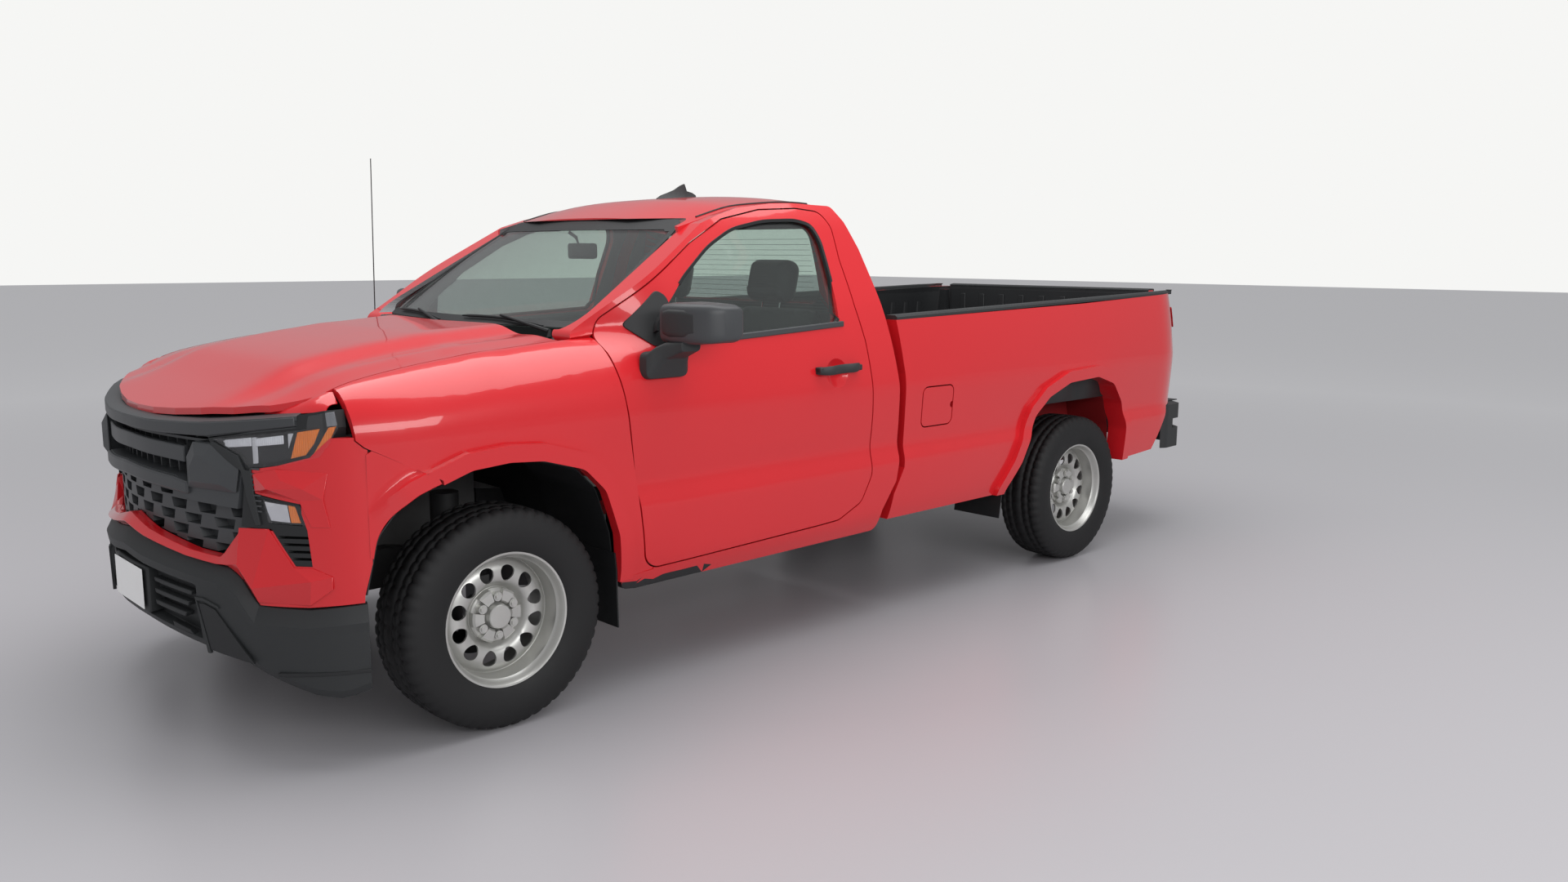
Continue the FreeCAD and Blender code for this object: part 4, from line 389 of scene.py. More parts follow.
def mark_sharp(bm, angle):
    """Smooth faces with sharp edges where the surface turns."""
    for face in bm.faces:
        face.smooth = True
    for edge in bm.edges:
        if len(edge.link_faces) == 2:
            edge.smooth = edge.calc_face_angle(0.0) < angle
        else:
            edge.smooth = False


def mesh_of(name, bm):
    """Mesh made from a bmesh, which it uses up."""
    mesh = bpy.data.meshes.new(name)
    bm.to_mesh(mesh)
    bm.free()
    return mesh


def weave(bm, rings, loop_rings=False, loop_spots=True):
    """Quads between rings of points, round the rings and from the last to the first where they loop."""
    count, size = len(rings), len(rings[0])
    for i in range(count if loop_rings else count - 1):
        here, after = rings[i], rings[(i + 1) % count]
        for k in range(size if loop_spots else size - 1):
            j = (k + 1) % size
            bm.faces.new([here[k], here[j], after[j], after[k]])


def cap(bm, rings):
    """Close both ends of a run of rings."""
    bm.faces.new(rings[0])
    bm.faces.new(list(reversed(rings[-1])))


def thicken(bm, facing, thickness):
    """Turn an open skin towards a heading and give it a thickness."""
    bmesh.ops.recalc_face_normals(bm, faces=bm.faces)
    if sum(face.normal.dot(Vector(facing)) for face in bm.faces) < 0:
        bmesh.ops.reverse_faces(bm, faces=bm.faces)
    bmesh.ops.solidify(bm, geom=bm.faces[:], thickness=thickness)


def add_piece(name, bm, finish, body, bevel=0.0, sharp=32.0):
    """Turn a bmesh into a piece that rides on a body."""
    bmesh.ops.remove_doubles(bm, verts=bm.verts, dist=1e-5)
    bmesh.ops.recalc_face_normals(bm, faces=bm.faces)
    mark_sharp(bm, math.radians(sharp))
    mesh = mesh_of(name, bm)
    mesh.materials.append(finish_of(finish))
    piece = bpy.data.objects.new(name, mesh)
    bpy.context.scene.collection.objects.link(piece)
    if bevel:
        modifier = piece.modifiers.new("soft_edges", "BEVEL")
        modifier.width = bevel
        modifier.segments = 2
        modifier.limit_method = "ANGLE"
        modifier.angle_limit = BEVEL_ANGLE
    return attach(piece, body)


def slab(outline, place, cuts_first=(), cuts_second=(), bm=None):
    """Closed slab over a flat outline: place(a, b, side) gives its front (0) and back (1) points."""
    flat = bmesh.new()
    corners = [flat.verts.new((a, b, 0)) for a, b in outline]
    flat.faces.new(corners)
    for normal, values in (((1, 0, 0), cuts_first), ((0, 1, 0), cuts_second)):
        for value in values:
            point = Vector(normal) * value
            geometry = flat.verts[:] + flat.edges[:] + flat.faces[:]
            bmesh.ops.bisect_plane(flat, geom=geometry, dist=1e-6, plane_co=point, plane_no=normal)
    flat.verts.index_update()
    target = bm or bmesh.new()
    front = [target.verts.new(place(v.co.x, v.co.y, 0)) for v in flat.verts]
    back = [target.verts.new(place(v.co.x, v.co.y, 1)) for v in flat.verts]
    for face in flat.faces:
        order = [v.index for v in face.verts]
        target.faces.new([front[i] for i in order])
        target.faces.new([back[i] for i in reversed(order)])
    for edge in flat.edges:
        if len(edge.link_faces) == 1:
            i, j = (v.index for v in edge.verts)
            target.faces.new([front[i], front[j], back[j], back[i]])
    flat.free()
    return target


def cuts_between(low, high, count):
    """Values that divide a span into equal parts."""
    return [low + (high - low) * i / count for i in range(1, count)]


def nose_point(y, z, inset):
    """Point at a depth behind the nose curve."""
    def plan(share):
        return FRONT_AXLE + FRONT_OVERHANG * table_value([(b, a) for a, b in NOSE_PLAN], share)
    aside = abs(y) / HALF_WIDTH
    step = 0.004
    slope = (plan(min(aside + step, NOSE_END)) - plan(max(aside - step, 0.0))) / (2 * step * HALF_WIDTH)
    normal = Vector((1, -slope, 0)).normalized()
    x = plan(aside)
    side = 1 if y >= 0 else -1
    return Vector((x - normal.x * inset, side * (abs(y) - normal.y * inset), z))


def nose_piece(name, outline, inset, depth, finish, bevel=0.003, both=False, step=0.035, relief=None):
    """Slab that follows the nose curve; relief(y, z) moves its face outwards."""
    lift = relief or (lambda y, z: 0.0)

    def place(y, z, side):
        return nose_point(y, z, inset + depth if side else inset - lift(y, z))

    low, high = min(a for a, _ in outline), max(a for a, _ in outline)
    cuts = cuts_between(low, high, max(1, int((high - low) / step)))
    bm = slab(outline, place, cuts)
    if both:
        def other(y, z, side):
            point = place(y, z, side)
            return Vector((point.x, -point.y, point.z))
        slab(outline, other, cuts, (), bm)
    return add_piece(name, bm, finish, "truck", bevel)


def box_mesh(bm, low, high):
    """Add a box between two corners."""
    low, high = Vector(low), Vector(high)
    matrix = Matrix.Translation((low + high) / 2) @ Matrix.Diagonal((*(high - low), 1))
    bmesh.ops.create_cube(bm, size=1.0, matrix=matrix)


def spun(profile, count, closed=True, wave=None):
    """Mesh of (radius, y) points turned about the Y axis; wave(i, k, radius, y) moves point k of turn i."""
    bm = bmesh.new()
    rings = []
    for i in range(count):
        turn = 2 * math.pi * i / count
        ring = []
        for k, (radius, y) in enumerate(profile):
            r, h = (radius, y) if wave is None else wave(i, k, radius, y)
            ring.append(bm.verts.new((r * math.sin(turn), h, r * math.cos(turn))))
        rings.append(ring)
    weave(bm, rings, True, closed)
    return bm


# Wheels

# Profiles of the wheel: radius, y
TYRE_PROFILE = [
    (0.226, -0.096), (0.234, -0.108), (0.262, -0.122), (0.300, -0.129), (0.330, -0.1285), (0.352, -0.125),
    (0.366, -0.120), (0.378, -0.113), (0.387, -0.103), (0.3915, -0.090),
    (0.3925, -0.074), (0.384, -0.073), (0.384, -0.065), (0.393, -0.064),
    (0.3935, -0.034), (0.384, -0.033), (0.384, -0.026), (0.394, -0.025),
    (0.394, 0.025), (0.384, 0.026), (0.384, 0.033), (0.3935, 0.034),
    (0.393, 0.064), (0.384, 0.065), (0.384, 0.073), (0.3925, 0.074),
    (0.3915, 0.090), (0.387, 0.103), (0.378, 0.113), (0.366, 0.120), (0.352, 0.125), (0.330, 0.1285),
    (0.300, 0.129), (0.262, 0.122), (0.234, 0.108), (0.226, 0.096),
]
TYRE_TURNS = 216
# Cuts into the tyre: profile points, depth, and the turns of each run that are cut
TYRE_CUTS = (
    ((8, 9, 10, 25, 26, 27), 0.007, 4, (0,)), ((13, 14, 21, 22), 0.005, 4, (2,)), ((17, 18), 0.004, 6, (3,)),
    ((6, 7, 28, 29), 0.004, 4, (0, 1)),
)


def tyre_wave(i, k, radius, y):
    """Point of the tyre with its grooves, shoulder lugs and wall ribs."""
    for spots, depth, run, turns in TYRE_CUTS:
        if k in spots and i % run in turns:
            return radius - depth, y
    return radius, y


RIM_PROFILE = [
    (0.2445, 0.1080), (0.2400, 0.1120), (0.2335, 0.1105), (0.2270, 0.1020), (0.2245, 0.0900),
    (0.2160, 0.0800), (0.2140, 0.0500), (0.2100, 0.0160), (0.2080, 0.0140), (0.2060, 0.0060),
    (0.2120, -0.0100), (0.2160, -0.0960), (0.2300, -0.1060), (0.2445, -0.1080), (0.2445, -0.1000),
    (0.2250, -0.0900), (0.2220, 0.0000), (0.2300, 0.0960),
]
DISC_PROFILE = [
    (0.100, 0.010), (0.108, 0.018), (0.118, 0.034), (0.130, 0.043), (0.150, 0.046), (0.170, 0.044),
    (0.186, 0.037), (0.199, 0.024), (0.211, 0.012), (0.212, 0.002), (0.197, 0.014), (0.184, 0.029),
    (0.169, 0.036), (0.151, 0.038), (0.132, 0.035), (0.121, 0.026), (0.110, 0.010), (0.100, 0.002),
]
CAP_PROFILE = [
    (0.104, 0.002), (0.104, 0.008), (0.099, 0.010), (0.097, 0.018), (0.092, 0.022), (0.054, 0.024),
    (0.047, 0.034), (0.043, 0.056), (0.040, 0.059), (0.020, 0.060), (0.0005, 0.060),
]
HOLES = 12
HOLE_CIRCLE = 0.1545
HOLE_TALL = 0.0285
HOLE_WIDE = 0.0265
HOLE_FLARE = 0.0060
HOLE_SIDES = 24
LUGS = 6
LUG_CIRCLE = 0.0698


def hole_cutter():
    """Egg-shaped rods that cut the holes of the wheel's disc."""
    bm = bmesh.new()
    for index in range(HOLES):
        turn = Matrix.Rotation((index + 0.5) * 2 * math.pi / HOLES, 4, "Y")
        front, back = [], []
        for step in range(HOLE_SIDES):
            a = 2 * math.pi * step / HOLE_SIDES
            wide = math.sin(a) * (HOLE_WIDE + HOLE_FLARE * math.cos(a))
            z = HOLE_CIRCLE + HOLE_TALL * math.cos(a)
            front.append(bm.verts.new(turn @ Vector((wide, 0.09, z))))
            back.append(bm.verts.new(turn @ Vector((wide, -0.03, z))))
        cap(bm, (front, back))
        weave(bm, (front, back))
    bmesh.ops.recalc_face_normals(bm, faces=bm.faces)
    return bm


def wheel_pieces():
    """Meshes of one wheel about the Y axis, its outer face towards +Y."""
    bm = spun(TYRE_PROFILE, TYRE_TURNS, True, tyre_wave)
    mark_sharp(bm, math.radians(38))
    tyre = mesh_of("tyre_form", bm)
    bm = spun(DISC_PROFILE, 144)
    bmesh.ops.recalc_face_normals(bm, faces=bm.faces)
    forms = []
    for name, form in (("disc_form", bm), ("hole_form", hole_cutter())):
        forms.append(bpy.data.objects.new(name, mesh_of(name, form)))
        bpy.context.scene.collection.objects.link(forms[-1])
    disc, cutter = forms
    holes = disc.modifiers.new("holes", "BOOLEAN")
    holes.object = cutter
    holes.operation = "DIFFERENCE"
    holes.solver = "EXACT"
    bpy.context.view_layer.update()
    rim = bmesh.new()
    rim.from_mesh(bpy.data.meshes.new_from_object(disc.evaluated_get(bpy.context.evaluated_depsgraph_get())))
    for form in forms:
        bpy.data.objects.remove(form)
    for part in (spun(RIM_PROFILE, 120), spun(CAP_PROFILE, 72, False)):
        rim.from_mesh(mesh_of("part_form", part))
    for index in range(LUGS):
        add_lug(rim, Matrix.Rotation(index * 2 * math.pi / LUGS, 4, "Y"))
    bmesh.ops.recalc_face_normals(rim, faces=rim.faces)
    mark_sharp(rim, math.radians(30))
    return tyre, mesh_of("rim_form", rim)


def add_lug(bm, turn):
    """Lug tower on the cap with its hexagonal nut."""
    for sides, radius, low, high in ((20, 0.0165, 0.012, 0.046), (6, 0.0115, 0.04, 0.052)):
        place = Matrix.Translation((0, (low + high) / 2, LUG_CIRCLE))
        matrix = turn @ place @ Matrix.Rotation(math.pi / 2, 4, "X")
        bmesh.ops.create_cone(bm, cap_ends=True, segments=sides, radius1=radius, radius2=0.93 * radius,
                              depth=high - low, matrix=matrix)
    rings = []
    for step in range(7):
        a = math.pi / LUGS + math.radians(-15 + 5 * step)
        ring = []
        for radius, y in ((0.0990, 0.010), (0.0975, 0.036), (0.0900, 0.043), (0.0560, 0.045), (0.0500, 0.038),
                          (0.0500, 0.010)):
            ring.append(bm.verts.new(turn @ Vector((radius * math.sin(a), y, radius * math.cos(a)))))
        rings.append(ring)
    weave(bm, rings)
    cap(bm, rings)


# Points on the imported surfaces

TREES = {}


def tree_of(node):
    """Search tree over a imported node's surface."""
    if node not in TREES:
        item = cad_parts[node]
        spots = [item.matrix_world @ v.co for v in item.data.vertices]
        TREES[node] = BVHTree.FromPolygons(spots, [list(p.vertices) for p in item.data.polygons])
    return TREES[node]


def first_hit(node, start, heading):
    return tree_of(node).ray_cast(Vector(start), Vector(heading))[0]


# Outer side of the cab: share of the height, share of the half width
CAB_SECTION = [
    (0.292, 0.993), (0.365, 1.000), (0.469, 0.992), (0.552, 1.002), (0.589, 0.995), (0.651, 0.972),
    (0.703, 0.945), (0.755, 0.912), (0.833, 0.845), (0.927, 0.757), (0.964, 0.712),
]


def side_y(x, z, side):
    """y of the body's outer side at a station and height, over window panes as well."""
    name = "left" if side > 0 else "right"
    best = 0.0
    for node in ("door_" + name, "cab_shell", "front_fenders", "bed_sides"):
        spot = first_hit(node, (x, 2 * side, z), (0, -side, 0))
        if spot is not None and spot.y * side > 0.5:
            best = max(best, spot.y * side)
    if best == 0.0:
        best = across(table_value(CAB_SECTION, z / ROOF))
    return best * side


def rounded(points, radius, count=6):
    """Closed outline with its corners rounded."""
    result = []
    for i, here in enumerate(points):
        here = Vector(here)
        before, after = Vector(points[i - 1]) - here, Vector(points[(i + 1) % len(points)]) - here
        reach = min(radius, 0.45 * before.length, 0.45 * after.length)
        start, end = here + before.normalized() * reach, here + after.normalized() * reach
        for k in range(count + 1):
            t = k / count
            result.append(tuple(start * (1 - t) ** 2 + here * 2 * t * (1 - t) + end * t ** 2))
    return result


def side_plate(name, side, outline, proud, depth, finish, body, bevel=0.002):
    """Plate that follows the body side over an (x, z) outline."""
    def place(x, z, back):
        return Vector((x, side_y(x, z, side) + side * (proud - (depth if back else 0)), z))
    low, high = min(a for a, _ in outline), max(a for a, _ in outline)
    cuts = cuts_between(low, high, max(1, int((high - low) / PLATE_STEP)))
    return add_piece(name, slab(outline, place, cuts), finish, body, bevel)


def ribbon(name, path, offset, finish, body, closed=False, bevel=0.0, bm=None):
    """Band along a path: offset(i, spot) gives its cross-section. With no name it stays in bm."""
    bm = bm or bmesh.new()
    rings = [[bm.verts.new(corner) for corner in offset(i, spot)] for i, spot in enumerate(path)]
    weave(bm, rings, closed)
    if not closed:
        cap(bm, rings)
    if name is None:
        return bm
    return add_piece(name, bm, finish, body, bevel)


def side_band(name, side, path, width, proud, depth, finish, body, closed=False, bevel=0.0):
    """Band of a width along an (x, z) path on the body side."""
    count = len(path)

    def offset(i, spot):
        before = path[i - 1] if closed or i else path[i]
        after = path[(i + 1) % count] if closed or i < count - 1 else path[i]
        run = (Vector(after) - Vector(before)).normalized()
        aside = Vector((-run.y, run.x)) * width / 2
        y = side_y(spot[0], spot[1], side)
        corners = []
        for sign, push in ((-1, -depth), (-1, proud), (1, proud), (1, -depth)):
            corners.append((spot[0] + sign * aside.x, y + side * push, spot[1] + sign * aside.y))
        return corners
    return ribbon(name, path, offset, finish, body, closed, bevel)


def tube(name, spots, radius, finish, body, sides=10, bm=None):
    """Round rod through points."""
    spots = [Vector(s) for s in spots]

    def offset(i, spot):
        run = (spots[min(i + 1, len(spots) - 1)] - spots[max(i - 1, 0)]).normalized()
        guide = Vector((0, 0, 1)) if abs(run.z) < 0.9 else Vector((1, 0, 0))
        u = run.cross(guide).normalized()
        v = run.cross(u)
        size = radius[i] if isinstance(radius, (list, tuple)) else radius
        return [spot + (u * math.cos(a) + v * math.sin(a)) * size
                for a in (2 * math.pi * k / sides for k in range(sides))]
    return ribbon(name, spots, offset, finish, body, bm=bm)


def nose_sheet(name, stations, rows, finish, bevel=0.0):
    """Closed sheet over the nose, from rows of (height, lift outwards), both as functions of y."""
    bm = bmesh.new()
    grid = []
    for height, lift in rows:
        grid.append([bm.verts.new(nose_point(y, height(abs(y)), -lift(abs(y)))) for y in stations])
    weave(bm, grid, True, False)
    for j in (0, -1):
        bm.faces.new([row[j] for row in grid])
    return add_piece(name, bm, finish, "truck", bevel, 25.0)


def mirror_stations(values):
    """Station list on both sides of the middle."""
    return [-v for v in reversed(values) if v] + list(values)


SEAM_DEPTH = 0.012
SEAM_WIDTH = 0.009


def soft_block(name, centre, half, radius, crown, seams, turn, count=28):
    """Stuffed cloth block: rounded edges, crowned faces and sunken seams across its wide face."""
    bm = bmesh.new()
    bmesh.ops.create_cube(bm, size=2.0)
    bmesh.ops.subdivide_edges(bm, edges=bm.edges, cuts=count, use_grid_fill=True)
    half = Vector(half)
    thin = min(range(3), key=lambda i: half[i])
    others = [i for i in range(3) if i != thin]
    for vert in bm.verts:
        unit = vert.co.copy()
        spot = Vector([unit[i] * half[i] for i in range(3)])
        core = Vector([max(-(half[i] - radius), min(half[i] - radius, spot[i])) for i in range(3)])
        away = spot - core
        if away.length > 1e-9:
            spot = core + away.normalized() * radius if sum(abs(a) > 1e-9 for a in away) > 1 else spot
        u, v = (unit[i] for i in others)
        swell = crown * (1 - u ** 4) * (1 - v ** 4)
        for axis, value in seams:
            gap = spot[axis] - value
            swell -= SEAM_DEPTH * math.exp(-(gap / SEAM_WIDTH) ** 2)
        if abs(unit[thin]) > 0.999:
            spot[thin] += math.copysign(swell, unit[thin])
        vert.co = spot
    bmesh.ops.transform(bm, matrix=Matrix.Translation(centre) @ Matrix.Rotation(turn, 4, "Y"), verts=bm.verts)
    return add_piece(name, bm, "cloth", "truck", 0.0, 60.0)


def block_piece(name, low, high, finish, body, bevel):
    """Box with soft edges."""
    bm = bmesh.new()
    box_mesh(bm, low, high)
    return add_piece(name, bm, finish, body, bevel)


# Front end

# Edges of the bumper and the lip above it: y, z
BUMPER_TOP = [(0.0, 0.703), (0.16, 0.686), (0.45, 0.664), (0.595, 0.648), (0.640, 0.618), (0.700, 0.534),
              (0.85, 0.531), (0.965, 0.548)]
BUMPER_LOW = [(0.0, 0.401), (0.126, 0.399), (0.46, 0.365), (0.63, 0.339), (0.80, 0.268), (0.853, 0.245),
              (0.923, 0.236), (0.965, 0.268)]
LIP_TOP = [(0.0, 0.758), (0.165, 0.722), (0.42, 0.688), (0.557, 0.680), (0.600, 0.715), (0.648, 0.784)]
LIP_RIDGE = [(0.0, 0.728), (0.165, 0.702), (0.42, 0.672), (0.560, 0.661), (0.600, 0.664), (0.648, 0.672)]
BUMPER_FACE = 0.028
CHAMFER = 0.052
POCKET_HALF = 0.452
POCKET_DEPTH = 0.040
SLATS = 3
SLAT_TOP = 0.560
SLAT_PITCH = 0.040
BUMPER_STATIONS = [0.0, 0.08, 0.16, 0.24, 0.32, 0.40, POCKET_HALF, POCKET_HALF + 0.014, 0.52, 0.56, 0.595,
                   0.618, 0.640, 0.66, 0.68, 0.70, 0.74, 0.78, 0.815, 0.85, 0.88, 0.91, 0.935, 0.958]


def lined(table):
    """Straight-line value through a table."""
    def value(key):
        for (a, b), (c, d) in zip(table, table[1:]):
            if key <= c:
                return b + (d - b) * max(0.0, (key - a) / (c - a))
        return table[-1][1]
    return value


def front_bumper():
    """Lower bumper with its broad chamfer and the pocket around the plate."""
    top, low = lined(BUMPER_TOP), lined(BUMPER_LOW)

    def pocket(y):
        return POCKET_DEPTH if y <= POCKET_HALF else 0.0
    rows = [
        (top, lambda y: -0.034), (top, lambda y: 0.004),
        (lambda y: top(y) - 0.012, lambda y: 0.012),
        (lambda y: top(y) - CHAMFER, lambda y: BUMPER_FACE + 0.004),
        (lambda y: top(y) - CHAMFER - 0.030, lambda y: BUMPER_FACE),
        (lambda y: top(y) - CHAMFER - 0.034, lambda y: BUMPER_FACE - pocket(y)),
        (lambda y: 0.35 * top(y) + 0.65 * low(y), lambda y: BUMPER_FACE - 0.006 - pocket(y)),
        (lambda y: low(y) + 0.034, lambda y: BUMPER_FACE - 0.014 - pocket(y)),
        (lambda y: low(y) + 0.028, lambda y: BUMPER_FACE - 0.014),
        (low, lambda y: BUMPER_FACE - 0.030), (low, lambda y: -0.034),
    ]
    piece = nose_sheet("front_bumper_shell", mirror_stations(BUMPER_STATIONS), rows, "trim", 0.002)
    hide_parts("front_bumper")
    panel = [(0.476, 0.520), (0.500, 0.522), (0.548, 0.508), (0.690, 0.345), (0.520, 0.368)]
    nose_piece("bumper_side_panels", panel, -BUMPER_FACE - 0.001, 0.010, "deep", 0.003, True)
    nose_piece("bumper_panel_rims", [(0.462, 0.540), (0.500, 0.540), (0.560, 0.522), (0.566, 0.512),
                                     (0.500, 0.530), (0.470, 0.528), (0.520, 0.356), (0.508, 0.356)],
               -BUMPER_FACE - 0.004, 0.012, "trim", 0.002, True)
    for index in range(SLATS):
        z, end = SLAT_TOP - SLAT_PITCH * index, 0.420 - 0.02 * index
        slat = [(0.190, z), (end, z - 0.012), (end - 0.005, z - 0.028), (0.195, z - 0.016)]
        nose_piece("bumper_slat_%d" % index, slat, -0.010, 0.030, "trim", 0.003, True)
    nose_piece("bumper_tow_covers", [(0.30, 0.425), (0.40, 0.412), (0.42, 0.398), (0.31, 0.405)], -0.012,
               0.02, "deep", 0.002, True)
    nose_piece("air_dam_line", [(0.760, 0.322), (0.958, 0.338), (0.958, 0.326), (0.764, 0.310)],
               -BUMPER_FACE + 0.004, 0.014, "deep", 0.002, True)


# The hood's front edge at its corner as points, and the lamp's upper edge as y, z and inset
HOOD_EDGE = [(2.584, 0.690, 1.183), (2.566, 0.720, 1.189), (2.549, 0.763, 1.192), (2.525, 0.818, 1.219),
             (2.508, 0.842, 1.220), (2.505, 0.868, 1.186)]
LAMP_TOP = [(0.700, 1.146, 0.070), (0.745, 1.150, 0.060), (0.790, 1.153, 0.045), (0.835, 1.158, 0.030),
            (0.875, 1.163, 0.020), (0.905, 1.168, 0.014)]


def hood_corners():
    """Rolled front corners of the hood above the lamps."""
    for name, side in SIDES:
        bm = bmesh.new()
        grid = []
        for (x, y, z), (low_y, low_z, inset) in zip(HOOD_EDGE, LAMP_TOP):
            start, end = Vector((x, side * y, z)), nose_point(side * low_y, low_z, inset)
            bulge = Vector((0.010, side * 0.004, 0.007))
            grid.append([bm.verts.new(start + (end - start) * t + bulge * 4 * t * (1 - t)) for t in
                         (0.0, 0.25, 0.5, 0.75, 1.0)])
        weave(bm, grid, False, False)
        thicken(bm, (1, 0, 0), 0.004)
        add_piece("hood_corner_" + name, bm, "paint", "hood", 0.0, 50.0)


def plate():
    """Blank plate on its holder."""
    nose_piece("plate_holder", [(-0.168, 0.428), (0.168, 0.428), (0.168, 0.590), (-0.168, 0.590)], -0.020,
               0.05, "trim", 0.006)
    x = FRONT_AXLE + 0.970 * FRONT_OVERHANG + 0.021
    block_piece("front_plate", (x, -0.150, 0.440), (x + 0.003, 0.150, 0.580), "plate", "truck", 0.001)


def lower_lip():
    """Faceted painted lip that sweeps down to the corner of the bumper."""
    top, ridge, low = lined(LIP_TOP), lined(LIP_RIDGE), lined(BUMPER_TOP)
    half = [0.0, 0.055, 0.11, 0.165, 0.24, 0.32, 0.42, 0.50, 0.557, 0.580, 0.600, 0.625, 0.646]
    rows = [
        (top, lambda y: -0.02), (top, lambda y: 0.002), (ridge, lambda y: 0.024),
        (lambda y: 0.5 * ridge(y) + 0.5 * (low(y) + 0.004), lambda y: 0.014),
        (lambda y: low(y) + 0.004, lambda y: 0.003), (lambda y: low(y) + 0.004, lambda y: -0.02),
    ]
    nose_sheet("lower_lip", mirror_stations(half), rows, "paint", 0.0015)
    for name, side in SIDES:
        facet_sheet("corner_facets_" + name, side, CORNER_SPOTS, CORNER_FACES, "paint")
        facet_sheet("arm_facets_" + name, side, ARM_SPOTS, ARM_FACES, "paint")
        fascia_side("fascia_side_" + name, side)


# Corner and arm facets: (y, z, lift) of each spot, and the spots of each face
CORNER_SPOTS = [
    (0.640, 0.785, 0.003), (0.746, 0.790, 0.003), (0.812, 0.668, 0.004), (0.640, 0.668, 0.024),
    (0.700, 0.598, 0.034), (0.860, 0.628, 0.020), (0.905, 0.640, 0.004), (0.700, 0.545, 0.006),
    (0.850, 0.545, 0.006), (0.905, 0.600, 0.008), (0.640, 0.628, 0.006), (0.860, 0.668, 0.003),
]
CORNER_FACES = [(0, 1, 4, 3), (1, 2, 5, 4), (2, 11, 6, 5), (3, 4, 7, 10), (4, 5, 8, 7), (5, 6, 9, 8)]
ARM_SPOTS = [
    (0.704, 0.966, 0.003), (0.775, 0.984, 0.006), (0.800, 0.952, 0.024), (0.708, 0.908, 0.003),
    (0.760, 0.925, 0.028), (0.834, 0.884, 0.003), (0.850, 0.925, 0.018), (0.893, 0.890, 0.004),
    (0.905, 0.975, 0.002), (0.862, 0.800, 0.003), (0.905, 0.800, 0.003),
]
ARM_FACES = [(0, 1, 2, 4), (0, 4, 3), (3, 4, 5), (4, 2, 6), (4, 6, 5), (1, 8, 6, 2), (5, 6, 7), (6, 8, 7),
             (5, 7, 10, 9)]


def facet_sheet(name, side, spots, faces, finish):
    """Faceted skin over the nose."""
    bm = bmesh.new()
    front = [bm.verts.new(nose_point(side * y, z, -lift)) for y, z, lift in spots]
    for face in faces:
        bm.faces.new([front[i] for i in face])
    thicken(bm, (1, 0, 0), 0.006)
    return add_piece(name, bm, finish, "truck", 0.0015, 12.0)


# Side of the fender: share of the height, share of the half width
FENDER_LOW = [(0.190, 0.950), (0.292, 0.990), (0.365, 0.998), (0.469, 0.996), (0.552, 1.002)]
# Front part of the wheel arch and the seam above the fascia's side: x, z
FRONT_ARCH = [(2.455, 0.690), (2.439, 0.759), (2.398, 0.824), (2.332, 0.877), (2.285, 0.898), (2.240, 0.9135)]
SEAM = ((2.475, 1.054), (2.215, 0.916))
FLARE = 0.028


def fender_y(x, z):
    """y of the body side ahead of the front wheel."""
    turn = max(0.0, (x - FRONT_AXLE - 0.161 * FRONT_OVERHANG) / (0.452 * FRONT_OVERHANG))
    return across(table_value(FENDER_LOW, z / ROOF) - 0.080 * turn ** 3.4)


def fascia_side(name, side):
    """Painted side of the fascia between the nose and the front arch."""
    bm = bmesh.new()
    centre = Vector((FRONT_AXLE, TYRE_RADIUS))
    edge = Vector(SEAM[1]) - Vector(SEAM[0])
    rows = []
    for spot in smooth_path(FRONT_ARCH, 5):
        spot = Vector(spot)
        away = (spot - centre).normalized()
        reach = max(0.001, (2.466 - spot.x) / away.x)
        offset = Vector(SEAM[0]) - spot
        cross = away.x * edge.y - away.y * edge.x
        meet = (offset.x * edge.y - offset.y * edge.x) / cross
        reach = max(0.001, min(reach, meet) if meet > 0 else reach)
        fade = FLARE * smooth_step((2.440 - spot.x) / 0.11)
        row = []
        for step in (0.0, 0.003, 0.030, 0.056, 0.064, 0.072, 0.10, 0.14, 0.20, 0.26):
            gone = min(step, reach)
            p = spot + away * gone
            band = 1 - smooth_step((gone - 0.054) / 0.014)
            inward = 0.004 if step == 0.0 else 0.0
            row.append(bm.verts.new((p.x, side * (fender_y(p.x, p.y) + fade * band - inward), p.y)))
        rows.append(row)
    weave(bm, rows, False, False)
    bmesh.ops.remove_doubles(bm, verts=bm.verts, dist=2e-4)
    thicken(bm, (0, side, 0), 0.014)
    add_piece(name, bm, "paint", "truck", 0.0, 40.0)


BAR_SLOPE = 0.1
BAR_START = 0.6
RIBS = 9
RIB_LOW = 0.842
RIB_PITCH = 0.017


def light_bar(low, high):
    """Outline of a lamp's light bar between two y stations."""
    lift = BAR_SLOPE * (low - BAR_START)
    return [(low, 1.040 + lift), (high, 1.052 + lift), (high, 1.080 + lift), (low, 1.066 + lift)]


def main_cups(y, z):
    """Fluting of the main reflector."""
    return 0.006 * math.cos((abs(y) - 0.60) * math.pi / 0.055)


def low_cups(y, z):
    """Fluting of the lower reflector."""
    return 0.004 * math.cos((z - 0.80) * math.pi / 0.02)


